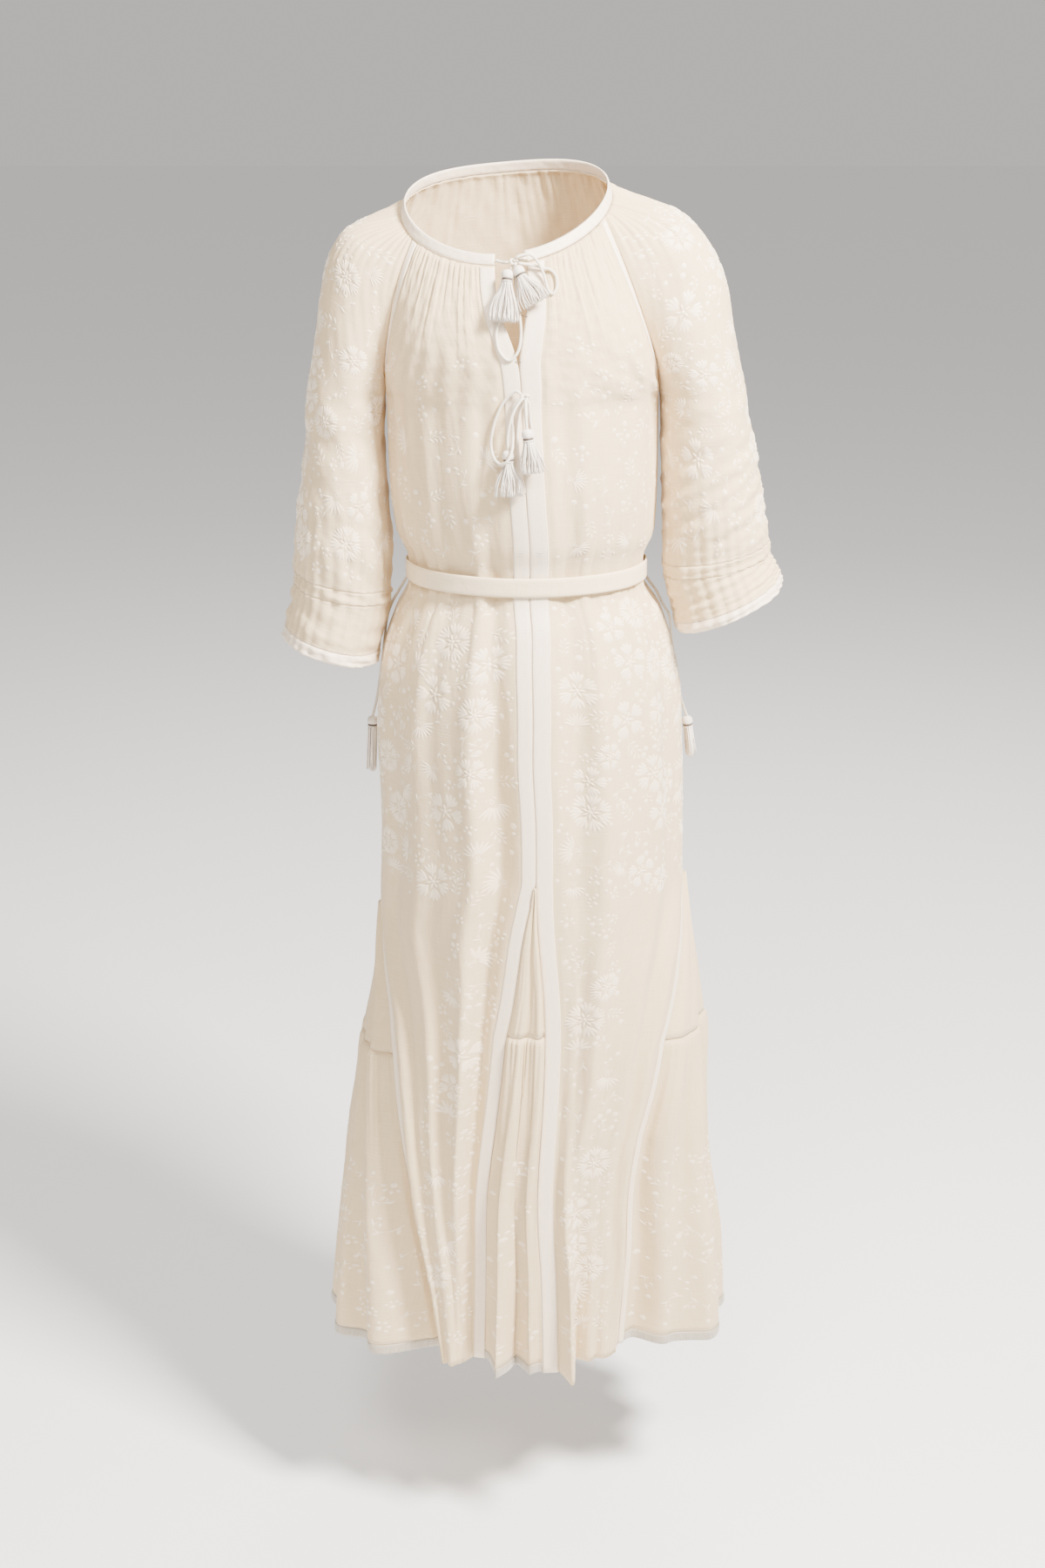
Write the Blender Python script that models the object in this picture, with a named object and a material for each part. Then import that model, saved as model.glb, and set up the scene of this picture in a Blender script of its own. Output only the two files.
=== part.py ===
"""Maxi dress with raglan sleeves, tasselled ties and three tiered godets.

Metres, +Z up. The front faces -Y and +X is on the viewer's right. The origin is midway between
the shoulders, where the wearer carries the dress. Angles run round the body from the front centre,
positive towards +X. A level of 0 is the neckline and 1 is the chest; below that a level grows by
one for each metre down.
"""

import math
from collections import namedtuple
from functools import lru_cache

import bmesh
import bpy
from mathutils import Vector

COLLECTION = "maxi_dress"
MM = 0.001
IVORY = (0.80, 0.75, 0.64)
WHITE = (0.80, 0.75, 0.72)
GREY_SATIN = (0.42, 0.36, 0.31)

# Driving sizes
CLOTH = 1.4 * MM
CASING_THICK = 1.8 * MM
CUFF_TRIM_THICK = 2.0 * MM
SEAM_GAP = 0.3 * MM
TRIM_LIFT = 0.3 * MM
TRIM_THICK = 0.8 * MM
CHEST_Z = -0.175
HEM_Z = -1.250
PLACKET_LEFT = 15 * MM
PLACKET_RIGHT = 18 * MM
SIDE_TRIM = 10 * MM
BINDING = 11.5 * MM
BELT_Z = -0.359
BELT_WIDTH = 20 * MM
BELT_LIFT = 2.2 * MM
BELT_THICK = 1.6 * MM
BAND_WIDTH = 11.5 * MM
BAND_THICK = 2.4 * MM
BAND_LIFT = 0.9 * MM
BAND_LEAN = 0.35
BAND_OUT = 1.5 * MM
CORD = 3.0 * MM

# The neck ring that the band and every gathered top edge share
NECK_X = -0.016
NECK_HALF = 0.105
NECK_FRONT = -0.095
NECK_BACK = 0.065
NECK_Z_BACK = 0.036
NECK_DROP = 0.076
NECK_TILT = 0.0085
NECK_SHAPE = 1.6
NECK_GAP_LEFT = -6.0
NECK_GAP_RIGHT = 11.0

# Neck angles where the raglan seams start, front and back, by side
RAGLAN_FRONT = {-1: 62.0, 1: 68.0}
RAGLAN_BACK = {-1: 120.0, 1: 117.0}
GATHER_DEPTH = 2.2 * MM
GATHER_FADE = 0.62
TIER_GATHER_DEPTH = 1.8 * MM
TIER_GATHER_LENGTH = 85 * MM

# The yoke's curve from neck to chest: how it leaves the neck, and how it lands, at the front and side
YOKE_HANDLE = 0.055
YOKE_LEAN = (0.35, 0.62)
YOKE_LANDING = (0.060, 0.035)
YOKE_FORWARD = 0.055
YOKE_TURN = 38 / 90
STRIP_SHARE = 0.3

Section = namedtuple("Section", "z left right front back")
BODY = (
    Section(-0.175, -0.140, 0.140, -0.120, 0.100),
    Section(-0.260, -0.138, 0.140, -0.126, 0.096),
    Section(-0.316, -0.131, 0.138, -0.120, 0.090),
    Section(-0.346, -0.119, 0.127, -0.110, 0.084),
    Section(-0.372, -0.119, 0.127, -0.110, 0.084),
    Section(-0.405, -0.134, 0.146, -0.124, 0.100),
    Section(-0.447, -0.148, 0.160, -0.136, 0.114),
    Section(-0.493, -0.154, 0.168, -0.144, 0.122),
    Section(-0.540, -0.157, 0.171, -0.148, 0.127),
    Section(-0.610, -0.154, 0.175, -0.152, 0.134),
    Section(-0.710, -0.157, 0.179, -0.156, 0.141),
    Section(-0.815, -0.166, 0.197, -0.159, 0.148),
    Section(-0.920, -0.186, 0.209, -0.162, 0.154),
    Section(-1.030, -0.205, 0.212, -0.164, 0.160),
    Section(-1.147, -0.219, 0.230, -0.166, 0.165),
    Section(-1.260, -0.2275, 0.239, -0.168, 0.168),
)

# Seams as angles round the body at heights, from a godet's tip down to the hem
SeamPoint = namedtuple("SeamPoint", "z angle")
FRONT_TIP_Z = -0.668
LEFT_TIP_Z = -0.738
RIGHT_TIP_Z = -0.702
CENTRE_SEAM = (SeamPoint(-0.175, -0.5), SeamPoint(-0.30, 1.5), SeamPoint(FRONT_TIP_Z, 1.0))
FRONT_GODET_LEFT = (
    SeamPoint(FRONT_TIP_Z, 1.0),
    SeamPoint(-0.738, -4.4),
    SeamPoint(-0.843, -10.8),
    SeamPoint(-1.030, -12.4),
    SeamPoint(HEM_Z, -13.4),
)
FRONT_GODET_RIGHT = (
    SeamPoint(FRONT_TIP_Z, 1.0),
    SeamPoint(-0.738, 1.9),
    SeamPoint(-0.843, 2.8),
    SeamPoint(-1.030, 3.6),
    SeamPoint(HEM_Z, 4.3),
)
LEFT_GODET_FRONT = (
    SeamPoint(LEFT_TIP_Z, -90.0),
    SeamPoint(-0.843, -66.0),
    SeamPoint(-0.895, -58.0),
    SeamPoint(-1.030, -44.0),
    SeamPoint(-1.160, -34.0),
    SeamPoint(HEM_Z, -29.5),
)
RIGHT_GODET_FRONT = (
    SeamPoint(RIGHT_TIP_Z, 90.0),
    SeamPoint(-0.790, 66.0),
    SeamPoint(-0.871, 51.0),
    SeamPoint(-0.980, 42.0),
    SeamPoint(-1.160, 36.0),
    SeamPoint(HEM_Z, 34.0),
)
LEFT_GODET_BACK = (
    SeamPoint(LEFT_TIP_Z, -90.0),
    SeamPoint(-0.843, -112.0),
    SeamPoint(-0.895, -119.0),
    SeamPoint(-1.030, -132.0),
    SeamPoint(HEM_Z, -147.0),
)
RIGHT_GODET_BACK = (
    SeamPoint(RIGHT_TIP_Z, 90.0),
    SeamPoint(-0.790, 111.0),
    SeamPoint(-0.871, 124.0),
    SeamPoint(-1.030, 138.0),
    SeamPoint(HEM_Z, 148.0),
)

LEFT_SIDE = (SeamPoint(CHEST_Z, -90.0),) + LEFT_GODET_FRONT
RIGHT_SIDE = (SeamPoint(CHEST_Z, 90.0),) + RIGHT_GODET_FRONT
BACK_LEFT_SIDE = (SeamPoint(CHEST_Z, -90.0),) + LEFT_GODET_BACK
BACK_RIGHT_SIDE = (SeamPoint(CHEST_Z, 90.0),) + RIGHT_GODET_BACK

# The neck slit's edges at the band, as chest angles, and the level where they meet
SLIT_TOP = {"front_left": -8.7, "front_right": 14.6}
SLIT_MEETS = 0.8

# Folds of each panel: share of the way across, then millimetres out of the smooth ring by height
Fold = namedtuple("Fold", "across chest waist hip knee hem")
FOLD_HEIGHTS = (CHEST_Z, BELT_Z, -0.540, -0.870, HEM_Z)
FRONT_LEFT_FOLDS = (
    Fold(0.00, 0, 0, -5, -16, -34),
    Fold(0.09, -1, -4, -16, -24, -30),
    Fold(0.22, 1, 0, 3, 3, -20),
    Fold(0.38, -1, -3, -4, -8, -14),
    Fold(0.54, 1, 0, 0, 0, -8),
    Fold(0.70, -1, -3, -5, -6, -12),
    Fold(0.86, 0, 0, 1, 2, -10),
    Fold(1.00, 0, 0, 0, -10, -46),
)
FRONT_RIGHT_FOLDS = (
    Fold(0.00, 0, 0, -5, -14, -8),
    Fold(0.12, -1, -3, -10, -9, 20),
    Fold(0.27, 1, 0, 3, 2, -30),
    Fold(0.42, -1, -3, -4, -3, -22),
    Fold(0.57, 1, 0, 1, 1, -26),
    Fold(0.72, -1, -3, -5, -6, -24),
    Fold(0.86, 0, 0, 1, 1, -30),
    Fold(1.00, 0, 0, 0, -10, -46),
)
BACK_FOLDS = (
    Fold(0.00, 0, 0, 0, -10, -44),
    Fold(0.07, 0, 0, 1, 1, -18),
    Fold(0.15, -1, -3, -6, -10, -30),
    Fold(0.24, 1, 0, 1, 3, 4),
    Fold(0.33, -1, -3, -8, -12, -22),
    Fold(0.41, 0, 0, 2, 2, 2),
    Fold(0.50, -1, -3, -6, -13, -26),
    Fold(0.60, 0, 0, 2, 4, 5),
    Fold(0.69, -1, -3, -7, -11, -20),
    Fold(0.78, 1, 0, 1, 1, 3),
    Fold(0.86, -1, -3, -5, -9, -30),
    Fold(0.94, 0, 0, 1, 0, -16),
    Fold(1.00, 0, 0, 0, -10, -44),
)
FRONT_GODET_FOLDS = (
    Fold(0.00, 0, 0, -5, -16, -34),
    Fold(0.26, 0, 0, -4, -8, 8),
    Fold(0.52, 0, 0, -5, -14, -28),
    Fold(0.78, 0, 0, -4, -8, 2),
    Fold(1.00, 0, 0, -5, -14, -8),
)
LEFT_GODET_FOLDS = (
    Fold(0.00, 0, 0, 0, -10, -46),
    Fold(0.15, 0, 0, 0, 2, 6),
    Fold(0.21, 0, 0, 0, -3, -8),
    Fold(0.29, 0, 0, 0, 1, 12),
    Fold(0.38, 0, 0, 0, -5, -14),
    Fold(0.50, 0, 0, 0, 0, 0),
    Fold(0.61, 0, 0, 0, -5, -22),
    Fold(0.72, 0, 0, 0, 1, 6),
    Fold(0.83, 0, 0, 0, -5, -22),
    Fold(0.92, 0, 0, 0, 0, -2),
    Fold(1.00, 0, 0, 0, -10, -44),
)
RIGHT_GODET_FOLDS = (
    Fold(0.00, 0, 0, 0, -10, -48),
    Fold(0.12, 0, 0, 0, 0, -18),
    Fold(0.23, 0, 0, 0, 2, 14),
    Fold(0.36, 0, 0, 0, -5, -10),
    Fold(0.50, 0, 0, 0, 0, 0),
    Fold(0.60, 0, 0, 0, -5, -22),
    Fold(0.71, 0, 0, 0, 1, 8),
    Fold(0.82, 0, 0, 0, -6, -24),
    Fold(0.92, 0, 0, 0, 0, -4),
    Fold(1.00, 0, 0, 0, -10, -44),
)

# Shoulder line of each sleeve: share of the raglan's length, distance from the centre plane, height
Shoulder = namedtuple("Shoulder", "share reach z")
SHOULDERS = {
    -1: (
        Shoulder(0.25, 0.1745, -0.012),
        Shoulder(0.40, 0.1945, -0.038),
        Shoulder(0.60, 0.2055, -0.081),
        Shoulder(0.80, 0.2125, -0.125),
        Shoulder(1.00, 0.2215, -0.172),
    ),
    1: (
        Shoulder(0.25, 0.1535, 0.005),
        Shoulder(0.40, 0.1840, -0.020),
        Shoulder(0.60, 0.2065, -0.066),
        Shoulder(0.80, 0.2175, -0.120),
        Shoulder(1.00, 0.2285, -0.172),
    ),
}

# Sleeve rings below the underarm: inner and outer reach and height, half depth, gather wave
SleeveRing = namedtuple("SleeveRing", "inner outer z_inner z_outer depth wave")
SLEEVES = {
    -1: (
        SleeveRing(0.1406, 0.2215, -0.175, -0.172, 0.060, 0.0),
        SleeveRing(0.1425, 0.2244, -0.224, -0.224, 0.061, 0.0),
        SleeveRing(0.1400, 0.2310, -0.282, -0.276, 0.062, 0.6 * MM),
        SleeveRing(0.1370, 0.2370, -0.335, -0.322, 0.061, 2.0 * MM),
        SleeveRing(0.1395, 0.2385, -0.382, -0.363, 0.058, 3.0 * MM),
        SleeveRing(0.1395, 0.2395, -0.396, -0.377, 0.058, 3.0 * MM),
        SleeveRing(0.1470, 0.2450, -0.426, -0.402, 0.061, 2.6 * MM),
        SleeveRing(0.1530, 0.2500, -0.450, -0.422, 0.064, 2.4 * MM),
        SleeveRing(0.1545, 0.2525, -0.462, -0.434, 0.065, 2.4 * MM),
    ),
    1: (
        SleeveRing(0.1406, 0.2285, -0.175, -0.172, 0.060, 0.0),
        SleeveRing(0.1430, 0.2380, -0.224, -0.220, 0.062, 0.0),
        SleeveRing(0.1450, 0.2460, -0.275, -0.262, 0.063, 0.6 * MM),
        SleeveRing(0.1465, 0.2520, -0.318, -0.300, 0.062, 2.0 * MM),
        SleeveRing(0.1480, 0.2560, -0.354, -0.332, 0.059, 3.0 * MM),
        SleeveRing(0.1490, 0.2580, -0.368, -0.345, 0.059, 3.0 * MM),
        SleeveRing(0.1560, 0.2650, -0.396, -0.358, 0.064, 3.0 * MM),
        SleeveRing(0.1610, 0.2690, -0.416, -0.368, 0.069, 3.2 * MM),
        SleeveRing(0.1630, 0.2720, -0.427, -0.377, 0.071, 3.2 * MM),
    ),
}
NECK_PULL_END = 0.5
CASING_TOP = 5.0
CASING_END = 6.0
TRIM_TOP = 8.0
TRIM_END = 9.0
RING_GAP = 0.012
SLEEVE_WAVES = 12
SLEEVE_GATHERS = 10

# Levels of the rows of each panel
YOKE_LEVELS = (0.0, 0.14, 0.28, 0.44, 0.62, 0.81, 1.0)
GATHER_START = 0.05
RAGLAN_TRIM_END = 0.81
STRIP_START = 0.012
FULL_FOLDS = 1.43
ROW_HEIGHTS = (
    -0.260, -0.310, -0.349, -0.369, -0.440, -0.540, -0.610, FRONT_TIP_Z, RIGHT_TIP_Z,
    LEFT_TIP_Z, -0.790, -0.843, -0.871, -0.895, -0.980, -1.070, -1.160,
)  # fmt: skip
HEM_ROW = HEM_Z + BINDING
TIERS = {"front": -0.843, "left": -0.895, "right": -0.871}
# Share of a godet's first row left at its tip, and how far below a tier its rows keep every gather
TIP_SHARE = 0.22
GATHERED_ROWS = 0.06

Panel = namedtuple("Panel", "name first last strip_first strip_last folds gathers")
FRONT_LEFT = Panel(
    "front_left",
    CENTRE_SEAM + FRONT_GODET_LEFT[1:],
    LEFT_SIDE,
    PLACKET_LEFT,
    SIDE_TRIM,
    FRONT_LEFT_FOLDS,
    12,
)
FRONT_RIGHT = Panel(
    "front_right",
    CENTRE_SEAM + FRONT_GODET_RIGHT[1:],
    RIGHT_SIDE,
    PLACKET_RIGHT,
    SIDE_TRIM,
    FRONT_RIGHT_FOLDS,
    12,
)
BACK = Panel("back", BACK_LEFT_SIDE, BACK_RIGHT_SIDE, 0.0, 0.0, BACK_FOLDS, 16)
GODETS = {
    "front": Panel("godet_front", FRONT_GODET_LEFT, FRONT_GODET_RIGHT, 0.0, 0.0, FRONT_GODET_FOLDS, 0),
    "left": Panel("godet_left", LEFT_GODET_FRONT, LEFT_GODET_BACK, 0.0, 0.0, LEFT_GODET_FOLDS, 0),
    "right": Panel("godet_right", RIGHT_GODET_FRONT, RIGHT_GODET_BACK, 0.0, 0.0, RIGHT_GODET_FOLDS, 0),
}
GODET_TIPS = {"front": FRONT_TIP_Z, "left": LEFT_TIP_Z, "right": RIGHT_TIP_Z}
GODET_GATHERS = {"front": 8, "left": 24, "right": 24}


def clamp(value, low=0.0, high=1.0):
    """Keeps a value between two limits."""
    return max(low, min(high, value))


def ease(share):
    """A smooth step from 0 to 1."""
    share = clamp(share)
    return share * share * (3 - 2 * share)


def mix(a, b, share):
    """A value part of the way from a to b."""
    return a + (b - a) * share


def even(count, low=0.0, high=1.0):
    """Evenly spaced values from low to high."""
    return [low + (high - low) * k / count for k in range(count + 1)]


def curve_through(keys, values, at):
    """Reads a smooth curve through a few values that never swings past them."""
    if at <= keys[0]:
        return values[0]
    if at >= keys[-1]:
        return values[-1]
    steps = [(values[k + 1] - values[k]) / (keys[k + 1] - keys[k]) for k in range(len(keys) - 1)]
    i = max(k for k in range(len(keys) - 1) if keys[k] <= at)
    slopes = []
    for k in (i, i + 1):
        before, after = steps[max(k - 1, 0)], steps[min(k, len(steps) - 1)]
        slopes.append(2 * before * after / (before + after) if before * after > 0 else 0.0)
    span = keys[i + 1] - keys[i]
    t = (at - keys[i]) / span
    start = (2 * t**3 - 3 * t**2 + 1) * values[i] + (t**3 - 2 * t**2 + t) * span * slopes[0]
    end = (3 * t**2 - 2 * t**3) * values[i + 1] + (t**3 - t**2) * span * slopes[1]
    return start + end


def read(table, key, column, at):
    """Reads one column of a table whose rows are ordered by another, in either direction."""
    rows = sorted(table, key=lambda row: getattr(row, key))
    return curve_through([getattr(r, key) for r in rows], [getattr(r, column) for r in rows], at)


def neck_point(angle):
    """The neck ring, where every gathered top edge meets the band."""
    turn = math.radians(angle)
    middle = (NECK_FRONT + NECK_BACK) / 2
    half_depth = (NECK_BACK - NECK_FRONT) / 2
    fall = ((1 + math.cos(turn)) / 2) ** NECK_SHAPE
    return Vector(
        (
            NECK_X + NECK_HALF * math.sin(turn),
            middle - half_depth * math.cos(turn),
            NECK_Z_BACK - NECK_DROP * fall + NECK_TILT * math.sin(turn),
        )
    )


def body_ring(angle, z, out=0.0):
    """A point of the smooth ring round the body, moved out along the ring's normal."""
    left, right = read(BODY, "z", "left", z), read(BODY, "z", "right", z)
    front, back = read(BODY, "z", "front", z), read(BODY, "z", "back", z)
    half_x, half_y = (right - left) / 2, (back - front) / 2
    sine, cosine = math.sin(math.radians(angle)), math.cos(math.radians(angle))
    normal = Vector((sine / half_x, -cosine / half_y, 0)).normalized()
    point = Vector(((left + right) / 2 + half_x * sine, (front + back) / 2 - half_y * cosine, z))
    return point + normal * out


def neck_angle(angle, behind):
    """The neck angle above a chest angle: fronts and back gather into less than a quarter each."""
    side = 1 if angle >= 0 else -1
    turn = abs(angle)
    if not behind:
        return side * turn * RAGLAN_FRONT[side] / 90
    return side * (180 - (180 - turn) * (180 - RAGLAN_BACK[side]) / 90)


def yoke_point(angle, share, behind):
    """Fronts and back above the chest, from the neck ring down to the chest ring."""
    top = neck_point(neck_angle(angle, behind))
    foot = body_ring(angle, CHEST_Z)
    side = math.sin(math.radians(angle)) ** 2
    lean = mix(*YOKE_LEAN, side)
    if behind:
        turn = math.radians(math.copysign(180 - (180 - abs(angle)) * YOKE_TURN, angle))
    else:
        turn = math.radians(angle * YOKE_TURN)
    away = Vector((lean * math.sin(turn), -lean * math.cos(turn), -math.sqrt(1 - lean**2)))
    forward = YOKE_FORWARD * side * (1 if behind else -1)
    handles = (
        top,
        top + away * YOKE_HANDLE,
        foot + Vector((0, forward, mix(*YOKE_LANDING, side))),
        foot,
    )
    rest = 1 - share
    weights = (rest**3, 3 * rest**2 * share, 3 * rest * share**2, share**3)
    return sum((h * w for h, w in zip(handles, weights)), Vector())


def seam_angle(seam, z):
    """Seams run straight between their points."""
    points = sorted(seam, reverse=True)
    if z >= points[0].z:
        return points[0].angle
    for above, below in zip(points, points[1:]):
        if z >= below.z:
            return mix(above.angle, below.angle, (above.z - z) / (above.z - below.z))
    return points[-1].angle


def fold_offset(panel, column, level):
    """How far a fold stands out of the smooth ring: level over the edge strips."""
    if level <= 1:
        return 0.0
    z = CHEST_Z - (level - 1)
    depths = []
    for fold in panel.folds:
        stations = list(zip(FOLD_HEIGHTS, fold[1:]))[::-1]
        depths.append(curve_through([s[0] for s in stations], [s[1] for s in stations], z) * MM)
    place = clamp(column)
    last = len(panel.folds) - 2
    i = max(k for k in range(last + 1) if panel.folds[k].across <= place)
    span = panel.folds[i + 1].across - panel.folds[i].across
    return mix(depths[i], depths[i + 1], (1 - math.cos(math.pi * (place - panel.folds[i].across) / span)) / 2)


def panel_angle(panel, share, level):
    """The angle round the body at a share of the way across a panel."""
    z = CHEST_Z - max(level - 1, 0.0)
    first, last = seam_angle(panel.first, z), seam_angle(panel.last, z)
    if panel.name in SLIT_TOP and level < 1:
        first = mix(SLIT_TOP[panel.name], first, ease(level / SLIT_MEETS))
    if panel.name == "back":
        last -= 360
    return mix(first, last, share)


def bare_point(panel, share, level, out=0.0):
    """A point of a panel's smooth form, with no folds of its own."""
    angle = panel_angle(panel, share, level)
    if angle < -180:
        angle += 360
    if level < 1:
        return yoke_point(angle, level, panel.name == "back")
    return body_ring(angle, CHEST_Z - (level - 1), out)


@lru_cache(maxsize=None)
def row_width(panel, level):
    """The length of one row of a panel, along the smooth ring."""
    points = [bare_point(panel, share, level) for share in even(16)]
    return sum((b - a).length for a, b in zip(points, points[1:]))


def across(panel, column, level):
    """Share of the way across for a column; -1 to 0 and 1 to 2 are a panel's edge strips."""
    width = row_width(panel, level)
    low = min(panel.strip_first / width, STRIP_SHARE)
    high = 1 - min(panel.strip_last / width, STRIP_SHARE)
    if column < 0:
        return low * (1 + column)
    if column > 1:
        return high + (1 - high) * (column - 1)
    return mix(low, high, column)


def panel_point(panel, column, level):
    """A point of a panel with its large folds."""
    return bare_point(panel, across(panel, column, level), level, fold_offset(panel, column, level))


def column_limits(panel):
    """A panel's first and last columns, edge strips included."""
    return (-1.0 if panel.strip_first else 0.0), (2.0 if panel.strip_last else 1.0)


def panel_normal(panel, column, level, step=0.004):
    """The outward normal of a panel, by differences that stay on its own side of the chest."""
    low, high = column_limits(panel)
    left, right = max(low, column - step), min(high, column + step)
    up, down = max(0.0, level - step), level + step
    if level <= 1 < down:
        down = 1.0
        up = 1.0 - step if level == 1 else up
    wide = panel_point(panel, right, level) - panel_point(panel, left, level)
    tall = panel_point(panel, column, down) - panel_point(panel, column, up)
    normal = wide.cross(tall).normalized()
    here = panel_point(panel, column, level)
    return normal if normal.dot(here - Vector((0, 0, here.z - 0.05))) > 0 else -normal


def gather(panel, column, level):
    """Fine gathers under the neckband, each with its own length, that rest level at the edges."""
    if not panel.gathers or not 0 < column < 1:
        return 0.0
    phase = column * panel.gathers
    own = 0.5 + 0.5 * math.sin(2.4 * math.floor(phase) + 1.1)
    fade = ease(level / GATHER_START) * (1 - ease(level / (GATHER_FADE + 0.30 * own)))
    return GATHER_DEPTH * (0.7 + 0.3 * own) * fade * (1 - math.cos(2 * math.pi * phase)) / 2


def raglan_blend(share):
    """How much of its neighbour's normal a raglan edge takes: all above, none at the underarm."""
    return 1 - ease((share - 0.45) / 0.5)


def tier_gather(panel, column, level):
    """Short gathers under a godet's tier seam."""
    top = TIERS.get(panel.name.split("_")[1]) if panel.name.startswith("godet") else None
    if top is None or column <= 0 or column >= 1:
        return 0.0
    drop = top - (CHEST_Z - (level - 1))
    if drop < 0:
        return 0.0
    count = GODET_GATHERS[panel.name.split("_")[1]]
    depth = TIER_GATHER_DEPTH * (1 - ease(drop / TIER_GATHER_LENGTH))
    return depth * (1 - math.cos(2 * math.pi * count * column)) / 2


def wall_pair(panel, column, level):
    """Outer and inner points of a panel's wall, drawn back from its seams."""
    low, high = column_limits(panel)
    point = panel_point(panel, column, level)
    normal = panel_normal(panel, column, level)
    near = 0.02 if column <= low else -0.02
    if column <= low or column >= high:
        inward = panel_point(panel, column + near, level) - point
        point = point + (inward - normal * inward.dot(normal)).normalized() * SEAM_GAP / 2
        if level < 1 and column >= high - 1e-9 or level < 1 and panel.name == "back":
            side = -1 if point.x < 0 else 1
            other = sleeve_normal(side, 1.0 if panel.name == "back" else -1.0, level)
            toward = -1 if other.dot(normal) < 0 else 1
            normal = (normal + other * toward * raglan_blend(level)).normalized()
    point = point + normal * (gather(panel, column, level) + tier_gather(panel, column, level))
    return point, point - normal * CLOTH, normal


def side_panel(side):
    """The front on one side."""
    return FRONT_LEFT if side < 0 else FRONT_RIGHT


def raglan(side, share, behind):
    """The seam between body and sleeve, a little outside the body's own edge."""
    if behind:
        column = 0.0 if side < 0 else 1.0
        point = panel_point(BACK, column, share)
    else:
        point = panel_point(side_panel(side), 2.0, share)
    return point + Vector((side * SEAM_GAP * 1.6 * ease(share * 1.5), 0, 0))


def shoulder(side, share):
    """The sleeve's top line, from the neck ring over the shoulder to the underarm's level."""
    start = neck_point(side * 90)
    keys = [0.0] + [row.share for row in SHOULDERS[side]]
    reach = [abs(start.x)] + [row.reach for row in SHOULDERS[side]]
    height = [start.z] + [row.z for row in SHOULDERS[side]]
    x = side * curve_through(keys, reach, share)
    return Vector((x, mix(start.y, body_ring(90, CHEST_Z).y, share), curve_through(keys, height, share)))


def neck_pull(side, turn):
    """What brings a sleeve's top edge onto the neck ring."""
    bend = abs(turn)
    top = neck_point(side * 90)
    seam = (RAGLAN_BACK if turn > 0 else RAGLAN_FRONT)[side]
    edge = neck_point(side * seam)
    plain = Vector((mix(top.x, edge.x, bend**2), mix(top.y, edge.y, bend), mix(top.z, edge.z, bend**2)))
    return neck_point(side * mix(90, seam, bend)) - plain


def sleeve_point(side, turn, level):
    """The sleeve's surface: turn runs from the front raglan (-1) over the top (0) to the back (1)."""
    bend = abs(turn)
    middle_y = body_ring(90, CHEST_Z).y
    sign = -1 if turn < 0 else 1
    if level <= 1:
        top, edge = shoulder(side, level), raglan(side, level, turn > 0)
        rounding = ease(level)
        share = mix(bend**2, (1 - math.cos(math.pi * bend)) / 2, rounding)
        centre = mix(top.y, middle_y, level)
        bulge = 0.060 * level**1.3
        y = centre + sign * (abs(edge.y - centre) * bend + bulge * math.sin(math.pi * bend))
        point = Vector((mix(top.x, edge.x, share), y, mix(top.z, edge.z, share)))
        return point + neck_pull(side, turn) * (1 - ease(level / NECK_PULL_END))
    place = level - 1
    rows = SLEEVES[side]
    keys = list(range(len(rows)))
    values = {
        name: curve_through(keys, [getattr(r, name) for r in rows], place)
        for name in ("inner", "outer", "z_inner", "z_outer", "depth")
    }
    share = (1 - math.cos(math.pi * bend)) / 2
    x = side * mix(values["outer"], values["inner"], share)
    y = middle_y + sign * values["depth"] * math.sin(math.pi * bend)
    return Vector((x, y, mix(values["z_outer"], values["z_inner"], share)))


def sleeve_normal(side, turn, level, step=0.01):
    """A normal of a sleeve's surface, by differences that stay above or below the underarm."""
    closed = level >= 1
    low, high = turn - step, turn + step
    if not closed:
        low, high = max(-1.0, low), min(1.0, high)
        if turn == 1.0:
            low, high = 1.0 - step, 1.0
    up, down = max(0.0, level - step), level + step
    if level <= 1:
        down = min(down, 1.0)
        up = min(up, 1.0 - step)
    if closed:
        low, high = (low + 1) % 2 - 1, (high + 1) % 2 - 1
    wide = sleeve_point(side, high, level) - sleeve_point(side, low, level)
    tall = sleeve_point(side, turn, down) - sleeve_point(side, turn, up)
    return wide.cross(tall).normalized()


def sleeve_wave(side, turn, level):
    """Gathers at the neck end of a sleeve, and the drawn waves about its casing."""
    if level < 1:
        phase = (turn + 1) / 2 * SLEEVE_GATHERS
        own = 0.5 + 0.5 * math.sin(2.1 * math.floor(phase) + 0.4)
        depth = GATHER_DEPTH * ease(level / GATHER_START) * (1 - ease(level / (0.45 + 0.2 * own)))
        return depth * (1 - math.cos(2 * math.pi * phase)) / 2
    rows = SLEEVES[side]
    depth = curve_through(list(range(len(rows))), [r.wave for r in rows], level - 1)
    inner = 1 - 0.75 * ease((abs(turn) - 0.75) / 0.2)
    return depth * inner * (1 - math.cos(math.pi * SLEEVE_WAVES * (turn + 1))) / 2


def sleeve_pair(side, turn, level, thick=CLOTH):
    """Outer and inner points of a sleeve's wall, drawn back from the raglan seams."""
    point = sleeve_point(side, turn, level)
    normal = sleeve_normal(side, turn, level)
    away = point - sleeve_centre(side, level)
    if normal.dot(away) < 0:
        normal = -normal
    edge = abs(turn) >= 1 and level < 1
    if edge:
        inward = sleeve_point(side, turn * 0.97, level) - point
        point = point + (inward - normal * inward.dot(normal)).normalized() * SEAM_GAP
        panel = BACK if turn > 0 else side_panel(side)
        column = (0.0 if side < 0 else 1.0) if turn > 0 else 2.0
        normal = (normal + panel_normal(panel, column, level) * raglan_blend(level)).normalized()
    point = point + normal * sleeve_wave(side, turn, level)
    return point, point - normal * thick, normal


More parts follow.
